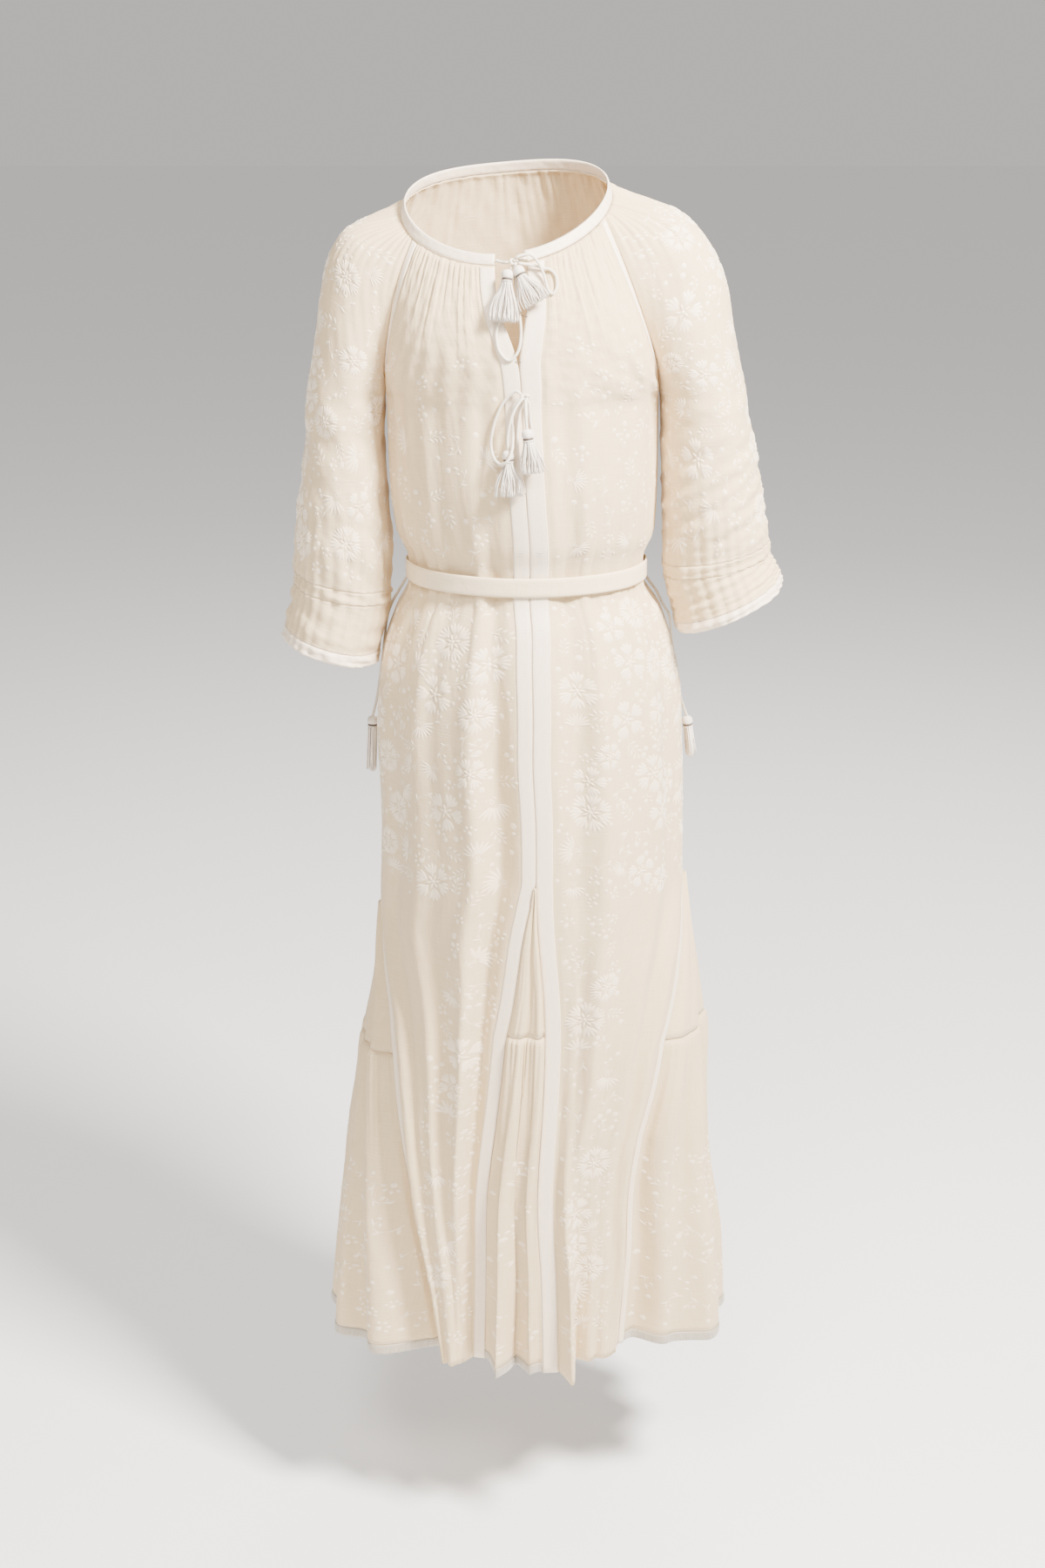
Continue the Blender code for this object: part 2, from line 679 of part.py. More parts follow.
def sleeve_centre(side, level):
    """A point inside the sleeve, which settles which way is out."""
    top = sleeve_point(side, 0.0, level)
    low = (sleeve_point(side, -1.0, level) + sleeve_point(side, 1.0, level)) / 2
    centre = (top + low) / 2
    return centre - Vector((side * 0.03, 0, 0.06)) * (1 - ease(level)) if level < 1 else centre


def level_of(z):
    """The level at a height below the chest."""
    return 1 + (CHEST_Z - z)


def material(name, color, roughness):
    """A plain Principled material."""
    made = bpy.data.materials.new(name)
    made.use_nodes = True
    shader = made.node_tree.nodes["Principled BSDF"]
    shader.inputs["Base Color"].default_value = (*color, 1)
    shader.inputs["Roughness"].default_value = roughness
    shader.inputs["Metallic"].default_value = 0.0
    return made


def place(name, mesh, color=IVORY, roughness=0.85):
    """Puts a mesh into the collection as an object with its own material."""
    thing = bpy.data.objects.new(name, mesh)
    bpy.data.collections[COLLECTION].objects.link(thing)
    mesh.materials.clear()
    mesh.materials.append(material(name, color, roughness))
    return thing


def join_rows(mesh, upper, lower, keys_upper, keys_lower):
    """Triangles between two rows of points whose columns need not match."""
    i = j = 0
    while i < len(upper) - 1 or j < len(lower) - 1:
        step_i = keys_upper[i + 1] if i < len(upper) - 1 else math.inf
        step_j = keys_lower[j + 1] if j < len(lower) - 1 else math.inf
        if abs(step_i - step_j) < 1e-6:
            mesh.faces.new((upper[i], lower[j], lower[j + 1]))
            mesh.faces.new((upper[i], lower[j + 1], upper[i + 1]))
            i, j = i + 1, j + 1
        elif step_i < step_j:
            mesh.faces.new((upper[i], lower[j], upper[i + 1]))
            i += 1
        else:
            mesh.faces.new((upper[i], lower[j], lower[j + 1]))
            j += 1


def build_wall(name, rows, color=IVORY, roughness=0.85):
    """A closed wall from rows of (column, outer, inner); a row whose ends meet is a closed ring."""
    mesh = bmesh.new()
    outers, inners, keys, rings = [], [], [], []
    for row in rows:
        ring = (row[0][1] - row[-1][1]).length < 1e-7
        outer = [mesh.verts.new(item[1]) for item in (row[:-1] if ring else row)]
        inner = [mesh.verts.new(item[2]) for item in (row[:-1] if ring else row)]
        if ring:
            outer.append(outer[0])
            inner.append(inner[0])
        outers.append(outer)
        inners.append(inner)
        keys.append([item[0] for item in row])
        rings.append(ring)
    for k in range(len(rows) - 1):
        join_rows(mesh, outers[k], outers[k + 1], keys[k], keys[k + 1])
        join_rows(mesh, inners[k], inners[k + 1], keys[k], keys[k + 1])
        if not (rings[k] and rings[k + 1]):
            for end in (0, -1):
                mesh.faces.new((outers[k][end], outers[k + 1][end], inners[k + 1][end], inners[k][end]))
    for k in (0, -1):
        for j in range(len(outers[k]) - 1):
            mesh.faces.new((outers[k][j], outers[k][j + 1], inners[k][j + 1], inners[k][j]))
    bmesh.ops.recalc_face_normals(mesh, faces=mesh.faces)
    data = bpy.data.meshes.new(name)
    mesh.to_mesh(data)
    mesh.free()
    return place(name, data, color, roughness)


def fold_columns(panel, level=FULL_FOLDS):
    """Columns at every ridge and valley, and half way between where the folds are deep."""
    stops = [fold.across for fold in panel.folds]
    halves = [(a + b) / 2 for a, b in zip(stops, stops[1:])] if level >= FULL_FOLDS else []
    low, high = column_limits(panel)
    return ([low] if low < 0 else []) + sorted(stops + halves) + ([high] if high > 1 else [])


def gather_columns(panel, count):
    """Columns at the ridge and valley of every gather."""
    low, high = column_limits(panel)
    return ([low] if low < 0 else []) + even(2 * count) + ([high] if high > 1 else [])


def panel_row(panel, columns, level):
    """One row of a panel's wall."""
    row = []
    for column in columns:
        outer, inner, _ = wall_pair(panel, column, level)
        row.append((column, outer, inner))
    return row


def body_levels(top, bottom):
    """Levels of the shared rows between two heights."""
    heights = [z for z in ROW_HEIGHTS + (HEM_ROW,) if bottom + 1e-6 < z < top - 1e-6]
    return [level_of(z) for z in [top] + heights + [bottom]]


def add_panel(panel):
    """A front or the back, from the neckline to the hem."""
    rows = []
    for level in YOKE_LEVELS:
        fine = level <= 0.45
        columns = gather_columns(panel, panel.gathers) if fine else fold_columns(panel, level)
        rows.append(panel_row(panel, columns, level))
    for level in body_levels(CHEST_Z, HEM_Z)[1:]:
        rows.append(panel_row(panel, fold_columns(panel, level), level))
    return build_wall(panel.name, rows)


def add_strip(name, panel, columns, levels, edge=0.0, color=WHITE):
    """A flat band on a panel's edge strip, made from the panel's own points; edge keeps it off a seam."""
    rows = []
    for level in levels:
        row = []
        for column in columns:
            outer, _, normal = wall_pair(panel, column, level)
            row.append((column, outer, normal))
        if edge:
            inner_edge, seam_edge = row[0][1], row[-1][1]
            drawn = seam_edge + (inner_edge - seam_edge).normalized() * edge
            row[-1] = (columns[-1], drawn, row[-1][2])
        rows.append([(c, p + n * (TRIM_LIFT + TRIM_THICK), p + n * TRIM_LIFT) for c, p, n in row])
    return build_wall(name, rows, color, 0.6)


def blend_rows(first, second, share):
    """A row part of the way between two."""
    return [(a[0], mix(a[1], b[1], share), mix(a[2], b[2], share)) for a, b in zip(first, second)]


def add_godet(side):
    """A godet: plain upper piece, gathered tier below its seam, bound hem."""
    panel = GODETS[side]
    tip, tier = GODET_TIPS[side], TIERS[side]
    columns = fold_columns(panel)
    levels = body_levels(tip, tier)[1:]
    upper = [panel_row(panel, columns, level) for level in levels[:-1]]
    upper.append(panel_row(panel, columns, levels[-1] - SEAM_GAP / 2))
    point = bare_point(panel, 0.5, level_of(tip))
    shrunk = [(c, point, point - (outer - inner)) for c, outer, inner in upper[0]]
    upper.insert(0, blend_rows(shrunk, upper[0], TIP_SHARE))
    build_wall(f"godet_{side}_upper", upper)
    gathered = even(2 * GODET_GATHERS[side])
    rows = [panel_row(panel, gathered, level_of(tier) + SEAM_GAP / 2)]
    for level in body_levels(tier, HEM_ROW)[1:]:
        fine = level < level_of(tier) + GATHERED_ROWS
        rows.append(panel_row(panel, gathered if fine else columns, level))
    rows[-1] = panel_row(panel, columns, level_of(HEM_ROW) - SEAM_GAP / 2)
    build_wall(f"godet_{side}_lower", rows)
    bound = [
        panel_row(panel, columns, level_of(HEM_ROW) + SEAM_GAP / 2),
        panel_row(panel, columns, level_of(HEM_Z)),
    ]
    build_wall(f"godet_{side}_binding", bound, GREY_SATIN, 0.4)


def sleeve_row(side, turns, level, thick=CLOTH):
    """One row of a sleeve's wall, closed into a ring below the underarm."""
    row = []
    for turn in turns:
        outer, inner, _ = sleeve_pair(side, turn, level, thick)
        row.append((turn, outer, inner))
    if level >= 1:
        row[-1] = (turns[-1], row[0][1].copy(), row[0][2].copy())
    return row


def add_sleeve(side):
    """Raglan sleeve, drawn casing, flared cuff and its satin edge."""
    name = "left" if side < 0 else "right"
    gathers = even(2 * SLEEVE_GATHERS, -1, 1)
    plain = even(16, -1, 1)
    waves = even(2 * SLEEVE_WAVES, -1, 1)
    rows = [sleeve_row(side, gathers if level < 0.45 else plain, level) for level in YOKE_LEVELS]
    for level in (2.0, 3.0):
        rows.append(sleeve_row(side, plain, level))
    for level in (4.0, CASING_TOP - 0.01):
        rows.append(sleeve_row(side, waves, level))
    build_wall(f"sleeve_{name}", rows)
    casing = (CASING_TOP + RING_GAP, CASING_END - RING_GAP)
    build_wall(f"sleeve_casing_{name}", [sleeve_row(side, waves, level, CASING_THICK) for level in casing])
    cuff = (CASING_END + RING_GAP, 7.0, TRIM_TOP - RING_GAP)
    build_wall(f"cuff_{name}", [sleeve_row(side, waves, level) for level in cuff])
    trim = (TRIM_TOP + RING_GAP, TRIM_END)
    trim_rows = [sleeve_row(side, waves, level, CUFF_TRIM_THICK) for level in trim]
    build_wall(f"cuff_trim_{name}", trim_rows, WHITE, 0.4)


def add_neckband():
    """The band stands on the gathered edge and leans in; its ends part at the slit."""
    rows = []
    start, end = NECK_GAP_RIGHT, 360 + NECK_GAP_LEFT
    turns = even(44, start, end)
    for rise in (BAND_WIDTH, 0.0):
        row = []
        for turn in turns:
            foot = neck_point(turn)
            along = (neck_point(turn + 0.5) - neck_point(turn - 0.5)).normalized()
            level = Vector((math.sin(math.radians(turn)), -math.cos(math.radians(turn)), 0))
            up = (Vector((0, 0, 1)) - level * BAND_LEAN).normalized()
            up = (up - along * up.dot(along)).normalized()
            out = up.cross(along)
            out = out if out.dot(level) > 0 else -out
            base = foot + up * (rise + BAND_LIFT)
            row.append((turn, base + out * BAND_OUT, base + out * (BAND_OUT - BAND_THICK)))
        rows.append(row)
    build_wall("neckband", rows, WHITE, 0.6)


def add_belt():
    """A flat band round the waist, over both plackets."""
    rows = []
    for z in (BELT_Z + BELT_WIDTH / 2, BELT_Z - BELT_WIDTH / 2):
        row = []
        for turn in even(48, -180, 180):
            inner = body_ring(turn, BELT_Z, BELT_LIFT)
            outer = body_ring(turn, BELT_Z, BELT_LIFT + BELT_THICK)
            inner.z = outer.z = z
            row.append((turn, outer, inner))
        row[-1] = (180, row[0][1].copy(), row[0][2].copy())
        rows.append(row)
    build_wall("belt", rows, WHITE, 0.7)


# Knots: centre and half sizes, in millimetres
Knot = namedtuple("Knot", "name x y z wide deep tall")
KNOTS = (
    Knot("neck_knot", -8.4, -101.5, -36.5, 5.0, 4.5, 5.0),
    Knot("chest_knot", 2.6, -125.5, -163.5, 5.0, 4.0, 4.5),
)

# Cords: routes in millimetres; "out" and "into" are the ways a cord leaves and enters its knot
Cord = namedtuple("Cord", "name knot out route into")
CORDS = (
    Cord(
        "neck_lead_left",
        "neck_knot",
        None,
        ((-25.6, -95.0, -35.2), (-20.5, -97.4, -36.6)),
        (-1, 0.1, 0),
    ),
    Cord(
        "neck_lead_right",
        "neck_knot",
        None,
        ((3.3, -94.2, -33.0), (0.8, -96.8, -33.6)),
        (1, 0.45, 0.35),
    ),
    Cord(
        "neck_loop_left",
        "neck_knot",
        (-0.5, 0.1, -1),
        (
            (-12.5, -101.4, -48.0), (-15.8, -103.8, -57.0), (-18.5, -107.8, -68.0),
            (-20.5, -111.8, -80.0), (-22.8, -114.8, -92.0), (-25.6, -117.5, -104.5),
            (-22.8, -120.1, -119.0), (-13.5, -121.2, -128.0), (-4.6, -120.6, -120.0),
            (-1.4, -118.0, -104.5), (-2.6, -114.3, -88.0), (-5.0, -107.0, -70.0), (-7.0, -101.6, -54.0),
        ),
        (0.1, 0.4, -1),
    ),
    Cord(
        "neck_loop_right",
        "neck_knot",
        (0.5, -0.5, 0.85),
        (
            (0.5, -104.5, -29.0), (8.2, -103.5, -29.0), (15.6, -102.5, -37.0), (21.4, -102.5, -50.0),
            (24.4, -104.6, -60.5), (29.0, -106.2, -66.0), (33.2, -103.8, -60.5), (32.6, -100.2, -50.0),
            (27.0, -98.4, -43.8), (19.0, -99.0, -42.0), (9.0, -101.0, -39.0),
        ),
        (1, -0.25, -0.1),
    ),
    Cord(
        "chest_loop_left",
        "chest_knot",
        (-0.75, -0.2, 0.6),
        (
            (-7.0, -125.2, -157.5), (-14.5, -123.6, -163.5), (-22.0, -122.8, -174.5), (-28.4, -122.6, -192.0),
            (-31.0, -124.0, -209.0), (-28.6, -129.0, -221.5), (-22.0, -139.0, -227.0), (-14.5, -143.6, -222.5),
            (-10.0, -139.0, -212.0), (-9.2, -129.0, -198.0), (-10.4, -124.6, -183.0), (-8.6, -124.4, -172.0),
        ),
        (-1, 0.0, -0.35),
    ),
    Cord(
        "chest_loop_right",
        "chest_knot",
        (-0.35, 0.0, -1),
        (
            (-2.6, -123.6, -177.0), (-4.4, -124.8, -192.0), (-5.0, -126.0, -208.0), (-3.4, -127.0, -222.0),
            (0.8, -127.8, -234.5), (7.0, -128.0, -238.5), (11.6, -127.4, -231.0), (12.2, -126.4, -216.0),
            (10.0, -125.4, -200.0), (7.4, -124.4, -184.0),
        ),
        (0.6, 0.0, -1),
    ),
    Cord(
        "chest_tail_left",
        "chest_knot",
        (-0.75, -0.9, -0.35),
        ((-7.4, -132.6, -174.0), (-12.0, -134.0, -186.0), (-14.6, -133.8, -201.0)),
        (-14.4, -133.2, -213.6),
    ),
    Cord(
        "chest_tail_right",
        "chest_knot",
        (0.1, -1, -0.75),
        ((3.4, -136.0, -179.0),),
        (4.3, -139.0, -191.6),
    ),
    Cord(
        "belt_cord_right",
        None,
        None,
        (
            (128.3, 4.4, -370.0), (134.8, 4.9, -380.0), (142.6, 5.8, -391.0), (149.4, 7.6, -405.0),
            (157.8, 9.2, -421.0), (160.4, 10.7, -447.0), (164.6, 11.8, -470.0), (168.4, 12.4, -493.0),
            (172.4, 13.0, -514.0),
        ),
        (179.0, 13.5, -532.6),
    ),
    Cord(
        "belt_cord_left",
        None,
        None,
        (
            (-120.3, 4.4, -370.0), (-125.6, 4.9, -380.0), (-132.0, 5.8, -391.0), (-139.6, 7.6, -405.0),
            (-145.0, 9.2, -421.0), (-148.6, 10.7, -447.0), (-151.6, 11.8, -470.0), (-154.8, 12.4, -493.0),
            (-158.4, 13.0, -514.0),
        ),
        (-163.0, 13.5, -532.6),
    ),
)
CORD_STEP = 3.0 * CORD
KNOT_STUB = 2.2 * MM

# Tassels, in millimetres: top of the head, middle of the skirt's end, half width, half depth, depth's way
Tassel = namedtuple("Tassel", "name top end wide deep facing")
TASSELS = (
    Tassel("neck_tassel_left", (-14.2, -107.4, -42.4), (-18.6, -122.5, -91.0), 15.0, 4.6, (0, 1, 0)),
    Tassel("neck_tassel_right", (-6.2, -106.0, -39.6), (13.0, -119.5, -74.0), 15.0, 4.6, (0, 1, 0)),
    Tassel("chest_tassel_left", (-14.4, -133.2, -214.0), (-12.8, -137.0, -260.0), 16.5, 6.6, (0, 1, 0)),
    Tassel("chest_tassel_right", (4.3, -139.0, -192.0), (9.0, -141.5, -236.0), 13.0, 6.4, (0, 1, 0)),
    Tassel("belt_tassel_right", (179.0, 13.5, -533.0), (184.0, 14.5, -577.0), 13.0, 6.4, (1, 0, 0)),
    Tassel("belt_tassel_left", (-163.0, 13.5, -533.0), (-165.5, 14.5, -594.0), 13.0, 6.4, (1, 0, 0)),
)
STRANDS = 12
HEAD_LENGTH = 12.0
HeadRing = namedtuple("HeadRing", "share radius")
HEAD = (
    HeadRing(0.0, 0.0),
    HeadRing(0.02, 2.2),
    HeadRing(0.30, 5.4),
    HeadRing(0.62, 5.8),
    HeadRing(0.82, 4.6),
    HeadRing(1.0, 6.0),
    HeadRing(1.0, 0.0),
)
# Strands: share of the skirt's drop, share of its spread, half thickness in millimetres
StrandRing = namedtuple("StrandRing", "share spread size")
STRAND = (StrandRing(0.45, 0.66, 1.1), StrandRing(1.0, 1.0, 1.4))
STRAND_REACH = (0.90, 0.58)


def knot_edge(knot, way, beyond=0.0):
    """A point a seam gap outside a knot's surface in one direction, or further out."""
    way = Vector(way).normalized()
    reach = 1 / math.sqrt((way.x / knot.wide) ** 2 + (way.y / knot.deep) ** 2 + (way.z / knot.tall) ** 2)
    return Vector((knot.x, knot.y, knot.z)) * MM + way * (reach * MM + SEAM_GAP + beyond)


def smooth_route(points, step):
    """Even points along a Catmull-Rom curve through a route."""
    ends = [points[0] * 2 - points[1]] + points + [points[-1] * 2 - points[-2]]
    fine = []
    for a, b, c, d in zip(ends, ends[1:], ends[2:], ends[3:]):
        for k in range(16):
            t = k / 16
            turn = (2 * a - 5 * b + 4 * c - d) * t**2 + (3 * b - a - 3 * c + d) * t**3
            fine.append(0.5 * (2 * b + (c - a) * t + turn))
    fine.append(points[-1])
    lengths = [0.0]
    for a, b in zip(fine, fine[1:]):
        lengths.append(lengths[-1] + (b - a).length)
    count = max(2, round(lengths[-1] / step))
    route = [fine[0]]
    for k in range(1, count):
        want = lengths[-1] * k / count
        i = max(j for j in range(len(lengths) - 1) if lengths[j] <= want)
        route.append(fine[i].lerp(fine[i + 1], (want - lengths[i]) / (lengths[i + 1] - lengths[i])))
    return route + [fine[-1]]


def cord_route(cord):
    """A cord's points, with a short straight stub square to each knot it meets."""
    knot = next((knot for knot in KNOTS if knot.name == cord.knot), None)
    points = [Vector(point) * MM for point in cord.route]
    from_knot = cord.out is not None
    to_knot = knot is not None and "tail" not in cord.name
    if from_knot:
        points.insert(0, knot_edge(knot, cord.out, KNOT_STUB))
    points.append(knot_edge(knot, cord.into, KNOT_STUB) if to_knot else Vector(cord.into) * MM)
    route = smooth_route(points, CORD_STEP)
    if from_knot:
        route.insert(0, knot_edge(knot, cord.out))
    if to_knot:
        route.append(knot_edge(knot, cord.into))
    return route


def add_cord(cord):
    """A round cord along its route."""
    curve = bpy.data.curves.new(cord.name, "CURVE")
    curve.dimensions = "3D"
    curve.bevel_depth = CORD / 2
    curve.bevel_resolution = 2
    curve.use_fill_caps = True
    points = cord_route(cord)
    spline = curve.splines.new("POLY")
    spline.points.add(len(points) - 1)
    for slot, point in zip(spline.points, points):
        slot.co = (*point, 1)
    thing = bpy.data.objects.new(cord.name, curve)
    bpy.data.collections[COLLECTION].objects.link(thing)
    curve.materials.append(material(cord.name, WHITE, 0.7))


def add_knot(knot):
    """The egg-shaped mass of a knot."""
    mesh = bmesh.new()
    bmesh.ops.create_uvsphere(mesh, u_segments=12, v_segments=8, radius=MM)
    bmesh.ops.scale(mesh, vec=(knot.wide, knot.deep, knot.tall), verts=mesh.verts)
    bmesh.ops.translate(mesh, vec=Vector((knot.x, knot.y, knot.z)) * MM, verts=mesh.verts)
    data = bpy.data.meshes.new(knot.name)
    mesh.to_mesh(data)
    mesh.free()
    place(knot.name, data, WHITE, 0.7)


def tassel_frame(tassel):
    """Where a tassel starts, how long it is, and its width, depth and hanging directions."""
    top, end = Vector(tassel.top) * MM, Vector(tassel.end) * MM
    down = (end - top).normalized()
    deep = Vector(tassel.facing)
    deep = (deep - down * deep.dot(down)).normalized()
    return top, (end - top).length / MM, down.cross(deep), deep, down


def add_tassel(tassel):
    """A turned head whose underside carries strands that stand apart below their roots."""
    top, length, wide, deep, down = tassel_frame(tassel)
    drop = length - HEAD_LENGTH
    mesh = bmesh.new()
    rings = []
    for ring in HEAD:
        height = ring.share * HEAD_LENGTH
        count = STRANDS if ring.radius else 1
        turns = [math.tau * k / STRANDS for k in range(count)]
        rings.append(
            [mesh.verts.new((ring.radius * math.cos(t), ring.radius * math.sin(t), height)) for t in turns]
        )
    roots = []
    for upper, lower in zip(rings, rings[1:]):
        for k in range(STRANDS):
            corners = [upper[k % len(upper)], lower[k % len(lower)]]
            corners += [lower[(k + 1) % len(lower)], upper[(k + 1) % len(upper)]]
            face = mesh.faces.new(list(dict.fromkeys(corners)))
            if lower is rings[-1]:
                roots.append(face)
    bmesh.ops.inset_individual(mesh, faces=roots, thickness=0.25)
    for index, root in enumerate(roots):
        here = root
        middle = here.calc_center_median()
        outward = Vector((middle.x, middle.y, 0)).normalized()
        outward.y *= tassel.deep / tassel.wide
        for ring in STRAND:
            before = here.calc_center_median()
            here = bmesh.ops.extrude_discrete_faces(mesh, faces=[here])["faces"][0]
            spread = outward * tassel.wide * ring.spread * STRAND_REACH[index % 2]
            centre = spread + Vector((0, 0, HEAD_LENGTH + drop * ring.share * (1 - 0.04 * (index % 3))))
            for vert in here.verts:
                vert.co = centre + (vert.co - before).normalized() * ring.size
    for vert in mesh.verts:
        x, y, z = vert.co * MM
        vert.co = top + wide * x + deep * y + down * z
    bmesh.ops.recalc_face_normals(mesh, faces=mesh.faces)
    data = bpy.data.meshes.new(tassel.name)
    mesh.to_mesh(data)
    mesh.free()
    place(tassel.name, data, WHITE, 0.6)


def add_ties():
    """Every knot, cord and tassel."""
    for knot in KNOTS:
        add_knot(knot)
    for cord in CORDS:
        add_cord(cord)
    for tassel in TASSELS:
        add_tassel(tassel)


def main():
    """Clears the scene and builds the dress."""
    for thing in list(bpy.data.objects):
        bpy.data.objects.remove(thing, do_unlink=True)
    collection = bpy.data.collections.new(COLLECTION)
    bpy.context.scene.collection.children.link(collection)
    for panel in (FRONT_LEFT, FRONT_RIGHT, BACK):
        add_panel(panel)
    for side in GODETS:
        add_godet(side)
    yoke = [STRIP_START] + list(YOKE_LEVELS[1:])
    whole = yoke[:-1] + body_levels(CHEST_Z, HEM_Z)
    raglan_levels = [level for level in yoke if level <= RAGLAN_TRIM_END]
    for panel, tip in ((FRONT_LEFT, LEFT_TIP_Z), (FRONT_RIGHT, RIGHT_TIP_Z)):
        side = panel.name.split("_")[1]
        add_strip(f"placket_{side}", panel, (-1.0, 0.0), whole)
        add_strip(f"raglan_trim_{side}", panel, (1.0, 2.0), raglan_levels, 1.5 * MM)
        add_strip(f"seam_trim_{side}", panel, (1.0, 2.0), body_levels(tip, HEM_Z), 0.4 * MM)
    for side in (-1, 1):
        add_sleeve(side)
    add_neckband()
    add_belt()
    add_ties()


main()
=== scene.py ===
"""Looks of a maxi dress: linen shells, embroidery, trims, stitches, cords, knots and tassels.

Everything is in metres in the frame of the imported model: the front faces -Y and +X is on the
viewer's right. Cloth is described by surfaces that take a place across and a place down and give
points, so that each shell, motif and stitch lies on the same form.
"""

import logging
import math
import random
from dataclasses import dataclass, field, replace
from enum import Enum
from typing import Callable, Sequence

import bmesh
import bpy
import numpy as np
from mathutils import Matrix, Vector

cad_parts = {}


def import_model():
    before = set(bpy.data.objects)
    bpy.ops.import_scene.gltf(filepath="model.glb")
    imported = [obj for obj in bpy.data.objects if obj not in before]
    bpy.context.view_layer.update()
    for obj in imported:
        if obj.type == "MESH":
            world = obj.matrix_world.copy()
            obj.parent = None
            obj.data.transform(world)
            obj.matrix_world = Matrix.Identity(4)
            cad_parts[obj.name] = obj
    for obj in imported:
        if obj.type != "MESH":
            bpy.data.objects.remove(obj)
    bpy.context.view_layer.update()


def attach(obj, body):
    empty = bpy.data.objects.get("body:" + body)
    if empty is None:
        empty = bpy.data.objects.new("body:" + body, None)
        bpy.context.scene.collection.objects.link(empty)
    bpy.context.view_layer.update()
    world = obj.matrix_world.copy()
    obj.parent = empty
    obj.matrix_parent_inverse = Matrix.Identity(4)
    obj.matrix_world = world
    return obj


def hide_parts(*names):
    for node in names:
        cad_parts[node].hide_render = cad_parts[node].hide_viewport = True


LOG = logging.getLogger("maxi_dress")
Array = np.ndarray
Point = tuple[float, float, float]
Span = Callable[[float], tuple[float, float]]
MM = 0.001


def clamp(value: Array, low: float = 0.0, high: float = 1.0) -> Array:
    """Keeps values between two limits."""
    return np.clip(value, low, high)


def ease(share: Array) -> Array:
    """A smooth step from 0 to 1."""
    share = clamp(share)
    return share * share * (3 - 2 * share)


def mix(a: Array, b: Array, share: Array) -> Array:
    """A value part of the way from a to b."""
    return a + (b - a) * share


def unit(vectors: Array) -> Array:
    """Vectors scaled to length one."""
    return vectors / np.maximum(np.linalg.norm(vectors, axis=-1, keepdims=True), 1e-12)


def hashed(index: Array, seed: float) -> Array:
    """A fixed scattered value between 0 and 1 for each whole number."""
    return np.modf(np.abs(np.sin((np.floor(index) + seed) * 12.9898) * 43758.5453))[0]


def ripple(x: Array, y: Array, seed: int) -> Array:
    """Soft seeded unevenness between about -1 and 1, a few crossing waves."""
    dice = random.Random(seed)
    total = np.zeros(np.broadcast(x, y).shape)
    for _ in range(6):
        turn, scale, phase = dice.uniform(0, math.pi), dice.uniform(0.6, 1.7), dice.uniform(0, math.tau)
        total = total + np.sin(scale * (x * math.cos(turn) + y * math.sin(turn)) * math.tau + phase)
    return total / 3.2


@dataclass(frozen=True)
class Curve:
    """A smooth curve through a few values that never swings past them."""

    keys: tuple[float, ...]
    values: tuple[float, ...]

    def at(self, where: Array) -> Array:
        """Reads the curve.

        Args:
            where: Places along the keys, which rise.

        Returns:
            One value for each place.
        """
        keys, values = np.array(self.keys), np.array(self.values)
        where = np.clip(where, keys[0], keys[-1])
        steps = np.diff(values) / np.diff(keys)
        before, after = np.r_[steps[0], steps], np.r_[steps, steps[-1]]
        agree = before * after > 0
        slopes = np.where(agree, 2 * before * after / np.where(agree, before + after, 1), 0)
        i = np.clip(np.searchsorted(keys, where, "right") - 1, 0, len(keys) - 2)
        span = keys[i + 1] - keys[i]
        t = (where - keys[i]) / span
        start = (2 * t**3 - 3 * t**2 + 1) * values[i] + (t**3 - 2 * t**2 + t) * span * slopes[i]
        end = (3 * t**2 - 2 * t**3) * values[i + 1] + (t**3 - t**2) * span * slopes[i + 1]
        return start + end


def run_along(line: Array) -> Array:
    """Length from a line's first point to each of its points."""
    return np.r_[0, np.cumsum(np.linalg.norm(np.diff(line, axis=0), axis=-1))]


def table_curve(rows: Sequence[tuple[float, ...]], column: int, scale: float = 1.0) -> Curve:
    """A curve through one column of a table against its first column."""
    rows = sorted(rows)
    return Curve(tuple(r[0] for r in rows), tuple(r[column] * scale for r in rows))


class Side(Enum):
    """The viewer's left and right."""

    LEFT = -1
    RIGHT = 1

    @property
    def word(self) -> str:
        """The side's name in piece names."""
        return self.name.lower()


